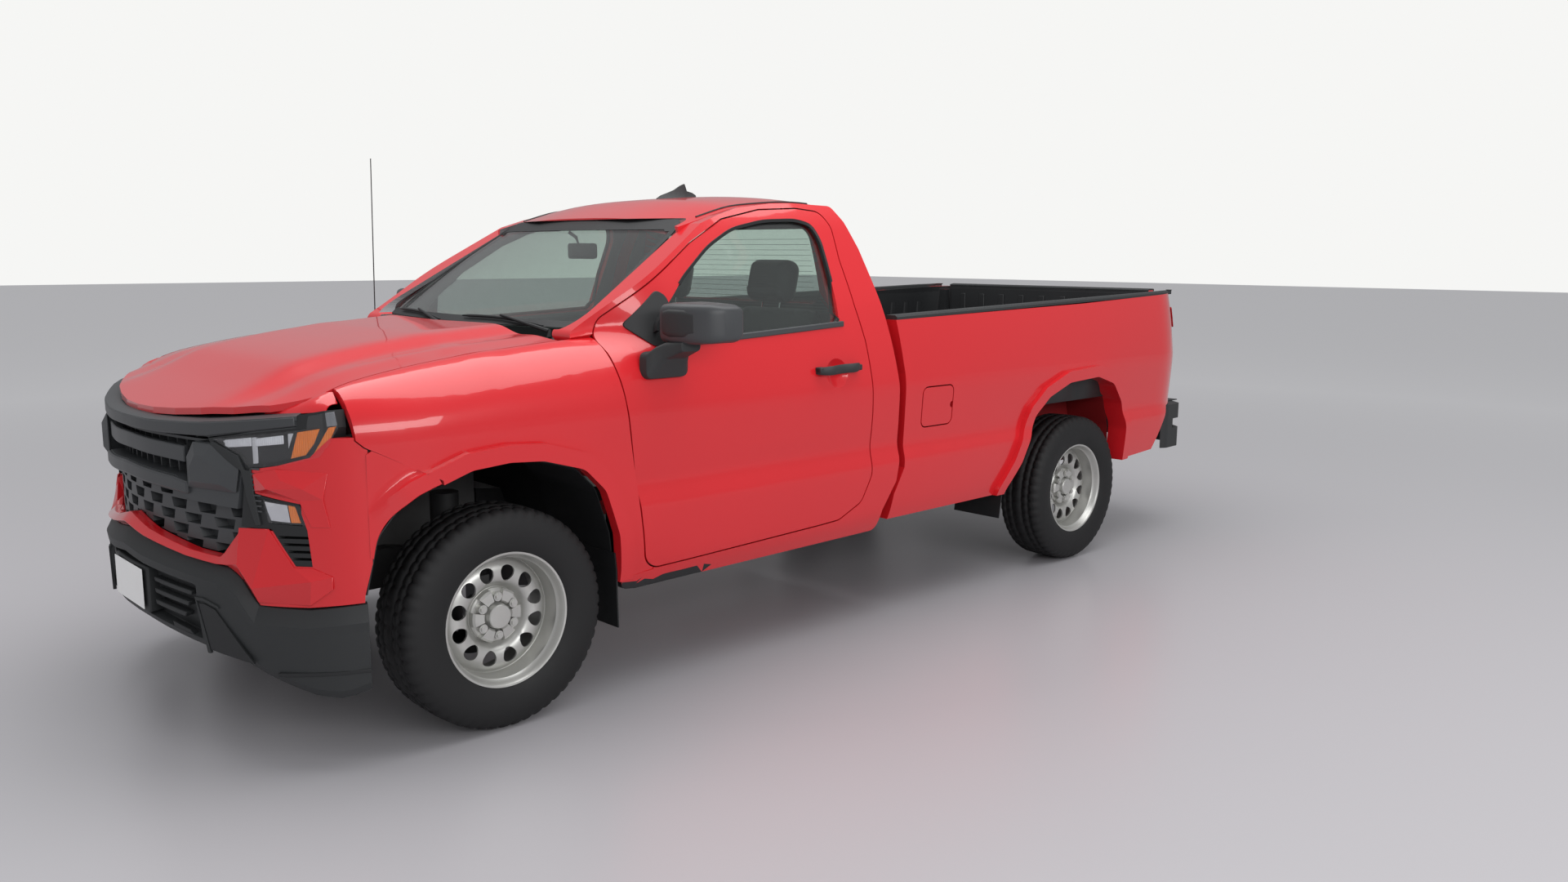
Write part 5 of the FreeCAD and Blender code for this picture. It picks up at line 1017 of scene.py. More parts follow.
# Lamp pieces of both sides: name, outline, inset, depth, finish, bevel, and for some, step and fluting
LAMP_PARTS = (
    ("main_reflectors", [(0.566, 1.058), (0.826, 1.098), (0.800, 1.012), (0.782, 1.008), (0.686, 0.993),
                         (0.662, 1.022)], 0.014, 0.012, "chrome", 0.0, 0.012, main_cups),
    ("turn_lenses", [(0.838, 1.102), (0.924, 1.121), (0.909, 1.068), (0.886, 1.029), (0.815, 1.009)],
     0.004, 0.010, "amber", 0.001),
    ("lamp_brows", [(0.560, 1.068), (0.862, 1.114), (0.862, 1.120), (0.826, 1.118), (0.700, 1.098)],
     0.003, 0.008, "satin_trim", 0.001),
    ("lamp_corners", [(0.862, 1.113), (0.868, 1.155), (0.922, 1.168), (0.926, 1.124)],
     0.003, 0.010, "smoke", 0.001, 0.02),
    ("lamp_covers", [(0.558, 1.066), (0.862, 1.113), (0.868, 1.154), (0.924, 1.169), (0.928, 1.116),
                     (0.911, 1.066), (0.889, 1.025), (0.802, 0.997), (0.690, 0.984), (0.655, 1.022)],
     -0.001, 0.003, "lamp_cover", 0.0),
    ("lamp_tube_0", light_bar(0.600, 0.700), 0.004, 0.006, "clear_lens", 0.002),
    ("lamp_tube_1", light_bar(0.715, 0.800), 0.004, 0.006, "clear_lens", 0.002),
    ("low_reflectors", [(0.737, 0.878), (0.800, 0.868), (0.806, 0.812), (0.748, 0.816)],
     0.004, 0.008, "chrome", 0.0, 0.012, low_cups),
    ("low_turn_lenses", [(0.803, 0.868), (0.832, 0.862), (0.843, 0.812), (0.809, 0.812)], 0.003, 0.008,
     "amber", 0.001),
    ("low_covers", [(0.733, 0.884), (0.836, 0.868), (0.848, 0.806), (0.745, 0.810)],
     -0.001, 0.003, "lamp_cover", 0.0),
)
BEZEL_EDGE = [(0.542, 1.040), (0.556, 1.060), (0.656, 1.020), (0.676, 0.975), (0.694, 0.975), (0.700, 0.984),
              (0.706, 0.900), (0.722, 0.800), (0.706, 0.800), (0.682, 0.880), (0.664, 0.972)]


def headlamps():
    """Reflectors, lenses and covers of the lamps on both sides, with the ribs of their bezels."""
    for name, outline, inset, depth, finish, bevel, *others in LAMP_PARTS:
        nose_piece(name, outline, inset, depth, finish, bevel, True, *others)
    for index in range(RIBS):
        z = RIB_LOW + RIB_PITCH * index
        rib = [(0.700, z), (0.728, z), (0.728, z + 0.006), (0.700, z + 0.006)]
        nose_piece("bezel_rib_%d" % index, rib, -0.004, 0.008, "satin_trim", 0.001, True)
    nose_piece("bezel_edges", BEZEL_EDGE, -0.006, 0.014, "trim", 0.002, True)


# Facets of the bar's bracket: (y, z, lift) of each spot, and the spots of each face
BRACKET_SPOTS = [
    (0.430, 0.998, 0.002), (0.470, 1.052, 0.004), (0.556, 1.050, 0.004), (0.656, 0.976, 0.004),
    (0.640, 0.898, 0.004), (0.428, 0.898, 0.002), (0.470, 0.972, 0.022), (0.498, 1.012, 0.024),
    (0.540, 1.012, 0.024), (0.602, 0.966, 0.024), (0.592, 0.925, 0.022), (0.470, 0.925, 0.022),
]
BRACKET_FACES = [(0, 1, 7, 6), (1, 2, 8, 7), (2, 3, 9, 8), (3, 4, 10, 9), (4, 5, 11, 10), (5, 0, 6, 11),
                 (6, 7, 8, 9, 10, 11)]


def grille_parts():
    """Proud frame of the grille: brackets, crossing bar, upper band and name bar."""
    for name, side in SIDES:
        facet_sheet("bar_bracket_" + name, side, BRACKET_SPOTS, BRACKET_FACES, "satin_trim")
    nose_piece("crossing_bar", [(-0.430, 0.915), (-0.355, 0.926), (0.0, 0.942), (0.355, 0.926),
                                (0.430, 0.915), (0.430, 0.874), (0.355, 0.880), (0.0, 0.895), (-0.355, 0.880),
                                (-0.430, 0.874)],
               -0.008, 0.03, "satin_trim", 0.006)
    nose_piece("upper_band", [(-0.835, 1.150), (-0.53, 1.118), (-0.24, 1.104), (0.0, 1.104), (0.24, 1.104),
                              (0.53, 1.118), (0.835, 1.150), (0.835, 1.122), (0.533, 1.074), (0.30, 1.066),
                              (0.0, 1.066), (-0.30, 1.066), (-0.533, 1.074), (-0.835, 1.122)],
               -0.004, 0.03, "satin_trim", 0.004)
    top = lined([(0.0, 1.104), (0.24, 1.104), (0.53, 1.118), (0.84, 1.152)])
    rows = [(lambda y: top(y) - 0.012, lambda y: 0.002), (lambda y: top(y) + 0.001, lambda y: 0.001),
            (lambda y: top(y) + 0.008, lambda y: -0.030), (lambda y: top(y) + 0.010, lambda y: -0.110),
            (lambda y: top(y) - 0.012, lambda y: -0.110)]
    nose_sheet("band_shelf", mirror_stations([0.0, 0.1, 0.2, 0.3, 0.4, 0.5, 0.6, 0.7, 0.78, 0.84]), rows,
               "satin_trim")
    nose_piece("name_bar", [(-0.400, 1.030), (0.0, 1.040), (0.400, 1.030), (0.400, 0.975), (0.0, 0.984),
                            (-0.400, 0.975)], 0.010, 0.02, "satin_trim", 0.004)


# Doors, mirrors and windows

# Outline of the door's window: station, share of the height
WINDOW = [
    (0.197, 0.722), (0.248, 0.812), (0.300, 0.878), (0.345, 0.916), (0.400, 0.935), (0.455, 0.939),
    (0.479, 0.928), (0.486, 0.895), (0.484, 0.830), (0.477, 0.705), (0.317, 0.692), (0.196, 0.684),
]
SAIL = [(1.392, 1.390), (1.243, 1.521), (1.205, 1.498), (1.190, 1.400), (1.190, 1.312), (1.297, 1.309)]
MIRROR_Z = 1.402
# Rings of the mirror: y, lowest and highest x, shares of half the height down and up, corner radius
MIRROR_HEAD = (
    (1.005, 1.200, 1.315, 0.80, 0.80, 0.030), (1.014, 1.160, 1.330, 0.92, 0.92, 0.035),
    (1.060, 1.130, 1.326, 1.00, 1.00, 0.036), (1.140, 1.115, 1.300, 0.98, 0.98, 0.036),
    (1.205, 1.106, 1.262, 0.92, 0.92, 0.034), (1.228, 1.108, 1.230, 0.80, 0.80, 0.028),
    (1.236, 1.120, 1.205, 0.66, 0.66, 0.018),
)
MIRROR_BROW = (
    (1.030, 1.26, 1.336, 0.55, 0.62, 0.02), (1.060, 1.26, 1.333, 0.66, 0.72, 0.02),
    (1.120, 1.25, 1.313, 0.66, 0.70, 0.02), (1.160, 1.24, 1.290, 0.55, 0.60, 0.02),
)
MIRROR_GLASS = ((1.035, 1.137, 1.150, 0.74, 0.78, 0.02), (1.210, 1.101, 1.112, 0.72, 0.74, 0.02))
# Rings of the arm: y, lowest and highest x, lowest and highest z, corner radius
MIRROR_ARM = (
    (0.970, 1.185, 1.395, 1.190, 1.296, 0.030), (1.004, 1.190, 1.388, 1.196, 1.300, 0.030),
    (1.020, 1.205, 1.370, 1.225, 1.318, 0.030), (1.045, 1.215, 1.340, 1.270, 1.334, 0.025),
    (1.110, 1.215, 1.305, 1.300, 1.338, 0.015),
)
HANDLE_X = 0.354
HANDLE_Z = 1.171
HANDLE_HALF = 0.130
HANDLE_BOW = 0.036
HANDLE_TALL = 0.020
HANDLE_DEEP = 0.011
HANDLE_STEPS = 16
HANDLE_SIDES = 12
FOOT_REACH = 0.112
FOOT_HALF = 0.018


def door_trim(name, side):
    """Black mouldings, mirror and handle of one door."""
    body = "door_" + name
    line = rounded([(along(a), level(b)) for a, b in WINDOW], 0.05, 4)
    side_band("window_seal_" + name, side, line, 0.013, 0.002, 0.016, "deep", body, True)
    belt = [(1.245, 1.312), (1.10, 1.319), (0.95, 1.326), (0.80, 1.333), (0.65, 1.340), (0.50, 1.347),
            (0.38, 1.353), (0.30, 1.357), (0.272, 1.358)]
    side_band("belt_moulding_" + name, side, belt, 0.024, 0.009, 0.012, "satin_trim", body, bevel=0.004)
    side_plate("mirror_sail_" + name, side, rounded(SAIL, 0.02, 4), 0.006, 0.012, "deep", body)
    mirror(side, name, body)
    handle(side, name, body)


def lofted(name, sections, finish, body, bevel=0.0):
    """Closed form through matching rings of points."""
    bm = bmesh.new()
    rings = [[bm.verts.new(spot) for spot in section] for section in sections]
    weave(bm, rings)
    cap(bm, rings)
    return add_piece(name, bm, finish, body, bevel, 40.0)


def ring_in(y, low_x, high_x, low_z, high_z, radius, side):
    """Rounded rectangle across the truck at one y."""
    corners = [(low_x, low_z), (high_x, low_z), (high_x, high_z), (low_x, high_z)]
    return [(a, side * y, b) for a, b in rounded(corners, radius, 5)]


def mirror(side, name, body):
    """Mirror head with its brow, glass and arm."""
    z, half = MIRROR_Z, look().mirror_half

    def rings(sections):
        return [ring_in(y, low_x, high_x, z - low * half, z + high * half, radius, side)
                for y, low_x, high_x, low, high, radius in sections]
    head = lofted("mirror_head_" + name, rings(MIRROR_HEAD), "satin_trim", body)
    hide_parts("door_trim_" + name)
    lofted("mirror_brow_" + name, rings(MIRROR_BROW), "trim", body, 0.002)
    lofted("mirror_glass_" + name, rings(MIRROR_GLASS), "chrome", body)
    lofted("mirror_arm_" + name, [ring_in(*section, side) for section in MIRROR_ARM], "trim", body, 0.002)


def handle(side, name, body):
    """Bowed pull handle with its two feet."""
    spots = []
    for i in range(HANDLE_STEPS + 1):
        t = 2 * i / HANDLE_STEPS - 1
        x = HANDLE_X + HANDLE_HALF * t
        out = HANDLE_BOW * (1 - t ** 4) + 0.008
        spots.append((x, side_y(x, HANDLE_Z, side) + side * out, HANDLE_Z - 0.004 * t))

    def offset(i, spot):
        tall = HANDLE_TALL * (1 - 0.35 * abs(2 * i / HANDLE_STEPS - 1) ** 6)
        turns = (2 * math.pi * (k + 0.5) / HANDLE_SIDES for k in range(HANDLE_SIDES))
        x, y, z = spot
        return [(x, y + side * HANDLE_DEEP * math.cos(a), z + tall * math.sin(a)) for a in turns]
    ribbon("door_pull_" + name, spots, offset, "trim", body)
    for index, reach in enumerate((-FOOT_REACH, FOOT_REACH)):
        x = HANDLE_X + reach
        y = side_y(x, HANDLE_Z, side)
        low, high = sorted((y - side * 0.004, y + side * 0.032))
        block_piece("pull_foot_%d_%s" % (index, name), (x - FOOT_HALF, low, HANDLE_Z - 0.013),
                    (x + FOOT_HALF, high, HANDLE_Z + 0.013), "trim", body, 0.005)


# Windshield surroundings

GLASS_FOOT = (along(0.093), level(0.705))
GLASS_HEAD = (along(0.293), level(0.945))
GLASS_SWEEP = 0.118
GLASS_BOW = 0.016
GLASS_NORMAL = Vector((0.53, 0, 0.85))
BORDER = [(-0.790, 0.718), (0.790, 0.718), (0.648, 0.934), (-0.648, 0.934)]
BORDER_STEP = 0.05
# Each wiper: the ends of its blade and its pivot, as y
WIPERS = (("left", 0.06, 0.60, 0.66), ("right", -0.62, -0.08, -0.02))
BLADE_PARTS = 10
LOUVRES = 46


def glass_spot(y, z, lift=0.0):
    """Point on the windshield's outer face, or lifted off it."""
    t = (z - GLASS_FOOT[1]) / (GLASS_HEAD[1] - GLASS_FOOT[1])
    x = GLASS_FOOT[0] + (GLASS_HEAD[0] - GLASS_FOOT[0]) * t - GLASS_SWEEP * (y / across(0.8)) ** 2
    return Vector((x + GLASS_BOW * 4 * t * (1 - t), y, z)) + GLASS_NORMAL * lift


def windshield_trim():
    """Dark border of the windshield, its wipers and the cowl's louvres."""
    line = rounded([(across(a), level(b)) for a, b in BORDER], 0.06, 5)
    spots = []
    for (a, b), (c, d) in zip(line, line[1:] + line[:1]):
        steps = max(1, int(math.dist((a, b), (c, d)) / BORDER_STEP))
        spots += [(a + (c - a) * k / steps, b + (d - b) * k / steps) for k in range(steps)]
    centre = Vector((0.0, level(0.826)))

    def offset(i, spot):
        before, after = Vector(spots[i - 1]), Vector(spots[(i + 1) % len(spots)])
        run = (after - before).normalized()
        aside = Vector((-run.y, run.x))
        if aside.dot(centre - Vector(spot)) < 0:
            aside = -aside
        wide = 0.022 if spot[1] < level(0.92) else 0.040
        inner = Vector(spot) + aside * wide
        outer = Vector(spot) - aside * 0.002
        return [glass_spot(*outer, 0.0004), glass_spot(*outer, 0.0022), glass_spot(*inner, 0.0014),
                glass_spot(*inner, 0.0002)]
    ribbon("windshield_border", spots, offset, "deep", "truck", True)
    for name, start, end, pivot in WIPERS:
        blade = []
        for i in range(BLADE_PARTS + 1):
            t = i / BLADE_PARTS
            z = 1.392 - 0.020 * t + 0.010 * math.sin(t * math.pi)
            blade.append(glass_spot(start + (end - start) * t, z, 0.012))
        radii = [0.003] + [0.006] * (BLADE_PARTS - 1) + [0.003]
        tube("wiper_blade_" + name, blade, radii, "deep", "truck", 8)
        foot = Vector((glass_spot(pivot, 1.37).x + 0.03, pivot, 1.345))
        arm = [foot, foot + Vector((0, 0, 0.02)), blade[BLADE_PARTS // 2] + Vector((0.004, 0, 0.012))]
        tube("wiper_arm_" + name, arm, [0.011, 0.009, 0.005], "deep", "truck", 8)
    louvre = bmesh.new()
    for i in range(LOUVRES):
        y = -0.66 + 1.32 * i / (LOUVRES - 1)
        x = along(0.079) - 0.055 * abs(y) / 0.818 - 0.012
        box_mesh(louvre, (x - 0.060, y - 0.004, 1.318), (x - 0.010, y + 0.004, 1.324))
    add_piece("cowl_louvres", louvre, "deep", "truck")


# Cab inside

SEAT_X = 0.262
SEAT_LOW = 0.646
SEAT_LEAN = 0.229
CARD_PARTS = 12


def seat():
    """Bench seat with three backs, seams and head restraints."""
    for index, (y, half) in enumerate(((0.455, 0.240), (0.0, 0.205), (-0.455, 0.240))):
        soft_block(
            "seat_cushion_%d" % index, (SEAT_X + 0.262, y, SEAT_LOW + 0.125), (0.262, half - 0.004, 0.088),
            0.045, look().cushion_crown, ((1, half - 0.070), (1, 0.070 - half), (0, 0.15)), 0.04)
        soft_block(
            "seat_back_%d" % index, (SEAT_X - 0.012, y, SEAT_LOW + 0.445), (0.062, half - 0.004, 0.320),
            0.045, look().back_crown, ((1, half - 0.070), (1, 0.070 - half), (2, 0.16)), -SEAT_LEAN)
    for index, y in enumerate((0.385, -0.385)):
        soft_block(
            "head_rest_%d" % index, (SEAT_X - 0.100, y, 1.530), (0.052, 0.132, 0.098), 0.042,
            look().back_crown, ((2, -0.045),), -SEAT_LEAN, 20)
        for post in (-0.06, 0.06):
            tube("rest_post_%d_%s" % (index, "a" if post < 0 else "b"),
                 [(SEAT_X - 0.078, y + post, 1.36), (SEAT_X - 0.098, y + post, 1.46)], 0.006, "chrome",
                 "truck", 10)
    base = block_piece("seat_base", (SEAT_X + 0.02, -0.66, 0.600), (SEAT_X + 0.470, 0.66, SEAT_LOW + 0.03),
                       "deep", "truck", 0.012)
    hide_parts("bench_seat")


def cab_inside():
    """Dash details, inner mirror and visors."""
    lofted("dash_brow", [[(x, y, z) for x, z in rounded(
        [(1.36, 1.262), (1.22, 1.262), (1.19, 1.278), (1.20, 1.300 - drop), (1.36, 1.300 - drop)], 0.012, 3)]
        for y, drop in ((0.17, 0.02), (0.22, 0.0), (0.38, -0.006), (0.54, 0.0), (0.59, 0.02))], "dash",
        "truck")
    block_piece("centre_screen", (1.236, -0.110, 1.10), (1.262, 0.110, 1.255), "deep", "truck", 0.008)
    block_piece("gauge_face", (1.262, 0.24, 1.17), (1.268, 0.52, 1.262), "deep", "truck", 0.004)
    for index, y in enumerate((-0.62, -0.24, 0.18, 0.64)):
        lofted("air_vent_%d" % index, [[(x, y + a, 1.175 + b) for a, b in rounded(
            [(-0.055, -0.032), (0.055, -0.032), (0.055, 0.032), (-0.055, 0.032)], 0.014, 3)]
            for x in (1.252, 1.236)], "deep", "truck", 0.002)
    head = Vector((0.985, 0.02, 1.665))
    lofted("inner_mirror", [[head + Vector((x, 0.45 * x + a, b)) for a, b in rounded(
        [(-size, -0.033 * tall), (size, -0.033 * tall), (size, 0.033 * tall), (-size, 0.033 * tall)], 0.018,
        4)]
        for x, size, tall in ((-0.012, 0.104, 1.0), (0.004, 0.108, 1.05), (0.018, 0.085, 0.8),
                              (0.024, 0.05, 0.5))],
        "deep", "truck")
    tube("inner_mirror_stem", [head + Vector((0.015, 0.005, 0.01)), head + Vector((0.030, 0, 0.06)),
                               glass_spot(0.0, 1.755, -0.008)], 0.008, "deep", "truck")
    for index, y in enumerate((0.36, -0.36)):
        outline = rounded([(-0.17, 0.16), (0.17, 0.16), (0.17, 0.0), (-0.17, 0.0)], 0.03, 4)
        lofted("sun_visor_%d" % index, [[(x - 0.6 * b, y + a, z + 0.3 * b) for a, b in outline]
                                        for x, z in ((0.965, 1.765), (0.957, 1.753))], "headliner", "truck")


def cab_lining():
    """Grey linings that hide painted metal inside the cab."""
    for name, side in SIDES:
        x_low, x_high = along(0.495), along(0.185)
        points = [(x_low, level(0.290)), (x_high, level(0.290)), (x_high, level(0.66)),
                  (x_high - 0.05, level(0.682)), (x_low, level(0.694))]

        def place(x, z, back, side=side):
            y = side_y(x, z, side) - side * (0.099 if not back else 0.111)
            return Vector((x, y, z))
        card = slab(points, place, cuts_between(x_low, x_high, CARD_PARTS))
        add_piece("door_card_" + name, card, "dash", "door_" + name, 0.003)
        y = side_y(0.75, 1.02, side) - side * 0.13
        low, high = sorted((y, y + side * 0.03))
        block_piece("arm_rest_" + name, (0.50, low, 0.97), (1.02, high, 1.04), "dash", "door_" + name, 0.012)
    back = along(0.545)
    block_piece("back_lining", (back + 0.068, -0.80, 0.62), (back + 0.075, 0.80, level(0.728)), "headliner",
                "truck", 0.002)


# Bed and tail

BED_WALL = 0.088
LINER_LOW = 0.866
LINER_PARTS = 40
LINER_TOP = level(0.708)
LINER_RIBS = 17
LINER_RIB_PITCH = 0.135
LINER_RIB_TOP = 1.33
GATE_X = along(1.823)


def bed_liner():
    """Black liner on the bed's inner walls and its ribs."""
    for name, side in SIDES:
        low_x, high_x = along(1.800), along(0.602)
        outline = [(low_x, LINER_LOW), (high_x, LINER_LOW), (high_x, level(0.7105)), (low_x, level(0.742))]

        def wall(x, z, proud):
            y = side_y(x, min(z, LINER_TOP), side)
            return Vector((x, y - side * (BED_WALL + proud), z))
        cuts = cuts_between(low_x, high_x, LINER_PARTS)
        rows = [LINER_LOW + 0.13 * i for i in range(1, 5)]
        sheet = slab(outline, lambda x, z, back, w=wall: w(x, z, 0.002 if back else 0.006), cuts, rows)
        add_piece("bed_liner_" + name, sheet, "deep", "truck")
        ribs = bmesh.new()
        for index in range(LINER_RIBS):
            x = high_x - 0.12 - LINER_RIB_PITCH * index
            over_wheel = REAR_AXLE - 0.44 < x < REAR_AXLE + 0.52
            bottom = 1.05 if over_wheel else 0.90
            path = [(x, bottom + (LINER_RIB_TOP - bottom) * k / 6) for k in range(7)]

            def offset(i, spot, w=wall):
                out = 0.006 if i in (0, 6) else 0.016
                return [w(spot[0] - 0.022, spot[1], 0.004), w(spot[0] - 0.014, spot[1], out),
                        w(spot[0] + 0.014, spot[1], out), w(spot[0] + 0.022, spot[1], 0.004)]
            ribbon(None, path, offset, None, None, bm=ribs)
        add_piece("liner_ribs_" + name, ribs, "deep", "truck")


def smooth_path(points, count):
    """Points along a smooth curve through an open path."""
    result = []
    for i in range(len(points) - 1):
        p0, p1 = Vector(points[max(i - 1, 0)]), Vector(points[i])
        p2, p3 = Vector(points[i + 1]), Vector(points[min(i + 2, len(points) - 1)])
        for k in range(count):
            t = k / count
            spot = 0.5 * (2 * p1 + (p2 - p0) * t + (2 * p0 - 5 * p1 + 4 * p2 - p3) * t ** 2
                          + (3 * p1 - p0 - 3 * p2 + p3) * t ** 3)
            result.append(tuple(spot))
    result.append(tuple(points[-1]))
    return result


RAIL_FRONT, RAIL_BACK = (along(0.578), level(0.712)), (along(1.810), level(0.7475))
RAIL_PARTS = 60


def rail_caps():
    """Caps on the bed's rails, held to the curve of the bed side."""
    for name, side in SIDES:
        (front, low), (back, high) = RAIL_FRONT, RAIL_BACK
        path = [(front + (back - front) * i / RAIL_PARTS, low + (high - low) * i / RAIL_PARTS)
                for i in range(RAIL_PARTS + 1)]

        def offset(i, spot):
            x, z = spot
            outer = abs(side_y(x, z - 0.03, side)) - 0.006
            return [(x, side * 0.893, z - 0.010), (x, side * 0.893, z + 0.012), (x, side * 0.899, z + 0.0165),
                    (x, side * (outer - 0.012), z + 0.0165), (x, side * outer, z + 0.008),
                    (x, side * outer, z - 0.004)]
        ribbon("rail_cap_" + name, path, offset, "trim", "truck")
    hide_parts("rail_caps")


# Tail lamp lenses from the top down: lowest and highest z, finish
TAIL_LENSES = ((1.256, 1.338, "red_lens"), (1.130, 1.244, "red_lens"), (1.020, 1.118, "clear_lens"),
               (0.935, 1.008, "red_lens"))
LENS_X = (-2.618, -2.668)
PLATE_X = along(2.0)
STOP_X = along(0.528)
# Plain blocks of the tailgate and the tail: name, lowest and highest corner, finish, body, bevel
GATE_BLOCKS = (
    ("gate_pull", (GATE_X + 0.002, -0.095, 1.245), (GATE_X + 0.012, 0.095, 1.292), "trim", "tailgate", 0.004),
    ("gate_liner", (GATE_X + 0.057, -0.745, 0.872), (GATE_X + 0.061, 0.745, 1.425), "deep", "tailgate",
     0.001),
)
REAR_BLOCKS = (
    ("ball_pad", (-2.895, -0.42, 0.7645), (-2.720, -0.08, 0.7700), "trim", "truck", 0.002),
    ("ball_pad_far", (-2.895, 0.08, 0.7645), (-2.720, 0.42, 0.7700), "trim", "truck", 0.002),
    ("rear_plate_pocket", (PLATE_X - 0.002, -0.19, 0.575), (PLATE_X + 0.006, 0.19, 0.735), "deep", "truck",
     0.003),
    ("rear_plate", (PLATE_X - 0.005, -0.152, 0.583), (PLATE_X - 0.001, 0.152, 0.727), "plate", "truck",
     0.001),
    ("stop_lamp", (STOP_X - 0.010, -0.17, 1.865), (STOP_X + 0.03, 0.17, 1.888), "red_lens", "truck", 0.003),
)
GATE_RIBS = 9
GATE_RIB_PITCH = 0.16
WIRES = 12
WIRE_PITCH = 0.025


def gate_trim():
    """Ribs of the tailgate's liner and the cap on its top edge."""
    x = GATE_X
    ribs = bmesh.new()
    for index in range(GATE_RIBS):
        y = GATE_RIB_PITCH * index - 0.64
        box_mesh(ribs, (x + 0.060, y - 0.02, 0.90), (x + 0.068, y + 0.02, 1.39))
    add_piece("gate_liner_ribs", ribs, "deep", "tailgate", 0.003)
    corners = [(x - 0.010, 1.438), (x + 0.058, 1.438), (x + 0.058, 1.449), (x + 0.020, 1.455),
               (x - 0.012, 1.452)]
    lofted("gate_top_cap", [[(a, y, b) for a, b in rounded(corners, 0.006, 3)] for y in (-0.762, -0.25, 0.25,
                                                                                         0.762)],
           "trim", "tailgate")


def tail_lenses(name, side):
    """Lenses of one tail lamp, on the side and on the back."""
    for index, (low, high, finish) in enumerate(TAIL_LENSES):
        outline = rounded([(LENS_X[0], low), (LENS_X[1], low), (LENS_X[1], high), (LENS_X[0], high)], 0.010,
                          3)
        side_plate("tail_lens_%d_%s" % (index, name), side, outline, 0.003, 0.006, finish, "truck", 0.0015)
        near, far = sorted((side * 0.796, side * 0.858))
        block_piece("rear_lens_%d_%s" % (index, name), (GATE_X - 0.004, near, low),
                    (GATE_X + 0.004, far, high), finish, "truck", 0.002)


def rear_window():
    """Defroster wires on the rear window and the seal around it."""
    wires = bmesh.new()
    for index in range(WIRES):
        z = level(0.755) + index * WIRE_PITCH
        spots = []
        for k in range(9):
            y = -0.52 + 0.13 * k
            hit = first_hit("fixed_glass", (0.6, y, z), (-1, 0, 0))
            if hit is not None and hit.x < 0.3:
                spots.append((hit.x + 0.0008, y, z))
        if len(spots) > 2:
            tube(None, spots, 0.0008, None, None, 4, wires)
    add_piece("defroster_wires", wires, "deep", "truck")
    corners = [(-0.600, 0.742), (0.600, 0.742), (0.560, 0.925), (-0.560, 0.925)]
    line = rounded([(across(a), level(b)) for a, b in corners], 0.06, 5)
    centre = Vector((0, level(0.833)))

    def offset(i, spot):
        away = (Vector(spot) - centre).normalized()
        spots = []
        for push, lift in ((-0.012, -0.004), (-0.012, 0.006), (0.012, 0.006), (0.012, -0.004)):
            p = Vector(spot) + away * push
            spots.append((back_x(p.y) - lift, p.x, p.y))
        return spots
    ribbon("rear_window_seal", line, offset, "deep", "truck", True)


def tail_parts():
    """Tailgate trim, lamp lenses, step pads, plate, stop lamp and the rear window's wires and seal."""
    for block in GATE_BLOCKS:
        block_piece(*block)
    gate_trim()
    for name, side in SIDES:
        tail_lenses(name, side)
        low, high = sorted((side * 0.62, side * 0.86))
        block_piece("step_pad_" + name, (-2.862, low, 0.7645), (-2.700, high, 0.7705), "trim", "truck", 0.002)
    for block in REAR_BLOCKS:
        block_piece(*block)
    rear_window()


# The cab's back wall: share of the height, station
BACK_LINE = [
    (0.200, 0.545), (0.263, 0.547), (0.329, 0.571), (0.386, 0.576), (0.443, 0.575), (0.547, 0.573),
    (0.641, 0.570), (0.720, 0.563), (0.773, 0.560), (0.875, 0.551), (0.938, 0.541), (0.990, 0.528),
]


def back_x(z):
    """x of the cab's back wall."""
    return along(table_value(BACK_LINE, z / ROOF))


DRIP_PARTS = 14
DRIP_ENDS = (along(0.318), along(0.500))
# Rings of the roof fin from its front: share of its length, half width, height; None takes the user's height
FIN_RINGS = (
    (0.0, 0.008, 0.004), (0.10, 0.022, 0.016), (0.28, 0.028, 0.028), (0.44, 0.028, 0.040),
    (0.60, 0.026, 0.060), (0.70, 0.024, None), (0.76, 0.024, 0.034), (0.90, 0.022, 0.026),
    (1.0, 0.010, 0.014),
)


def roof_parts():
    """Roof fin, mast and drip channels."""
    x = along(0.438)
    base = [first_hit("cab_shell", (x + dx, 0, 3), (0, 0, -1)).z for dx in (0.095, 0.0, -0.095)]
    rings = []
    for t, wide, tall in FIN_RINGS:
        tall = look().fin_height if tall is None else tall
        px = x + 0.115 - 0.235 * t
        pz = base[0] + (base[2] - base[0]) * t - 0.002
        rings.append([(px, -wide, pz), (px, -0.6 * wide, pz + 0.3 * tall), (px, -0.2 * wide, pz + tall),
                      (px, 0.2 * wide, pz + tall), (px, 0.6 * wide, pz + 0.3 * tall), (px, wide, pz)])
    lofted("roof_fin", rings, "trim", "truck", 0.0015)
    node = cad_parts["antennas"]
    spots = sorted((node.matrix_world @ v.co for v in node.data.vertices if v.co.x > 1.2), key=lambda s: s.z)
    foot, top = sum(spots[:8], Vector()) / 8, sum(spots[-8:], Vector()) / 8
    mast = tube("mast", [foot + (top - foot) * t for t in (0.0, 0.012, 0.04, 0.045, 0.06, 0.995, 1.0)],
                [0.016, 0.014, 0.008, 0.005, 0.0026, 0.0022, 0.0034], "deep", "truck", 12)
    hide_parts("antennas")
    for name, side in SIDES:
        spots = []
        for i in range(DRIP_PARTS + 1):
            px = DRIP_ENDS[0] + (DRIP_ENDS[1] - DRIP_ENDS[0]) * (i / DRIP_PARTS)
            py = side * across(0.655)
            hit = first_hit("cab_shell", (px, py, 3), (0, 0, -1))
            if hit is not None:
                spots.append((px, py, hit.z + 0.001))
        tube("drip_channel_" + name, spots, 0.0045, "deep", "truck", 8)


# Stage

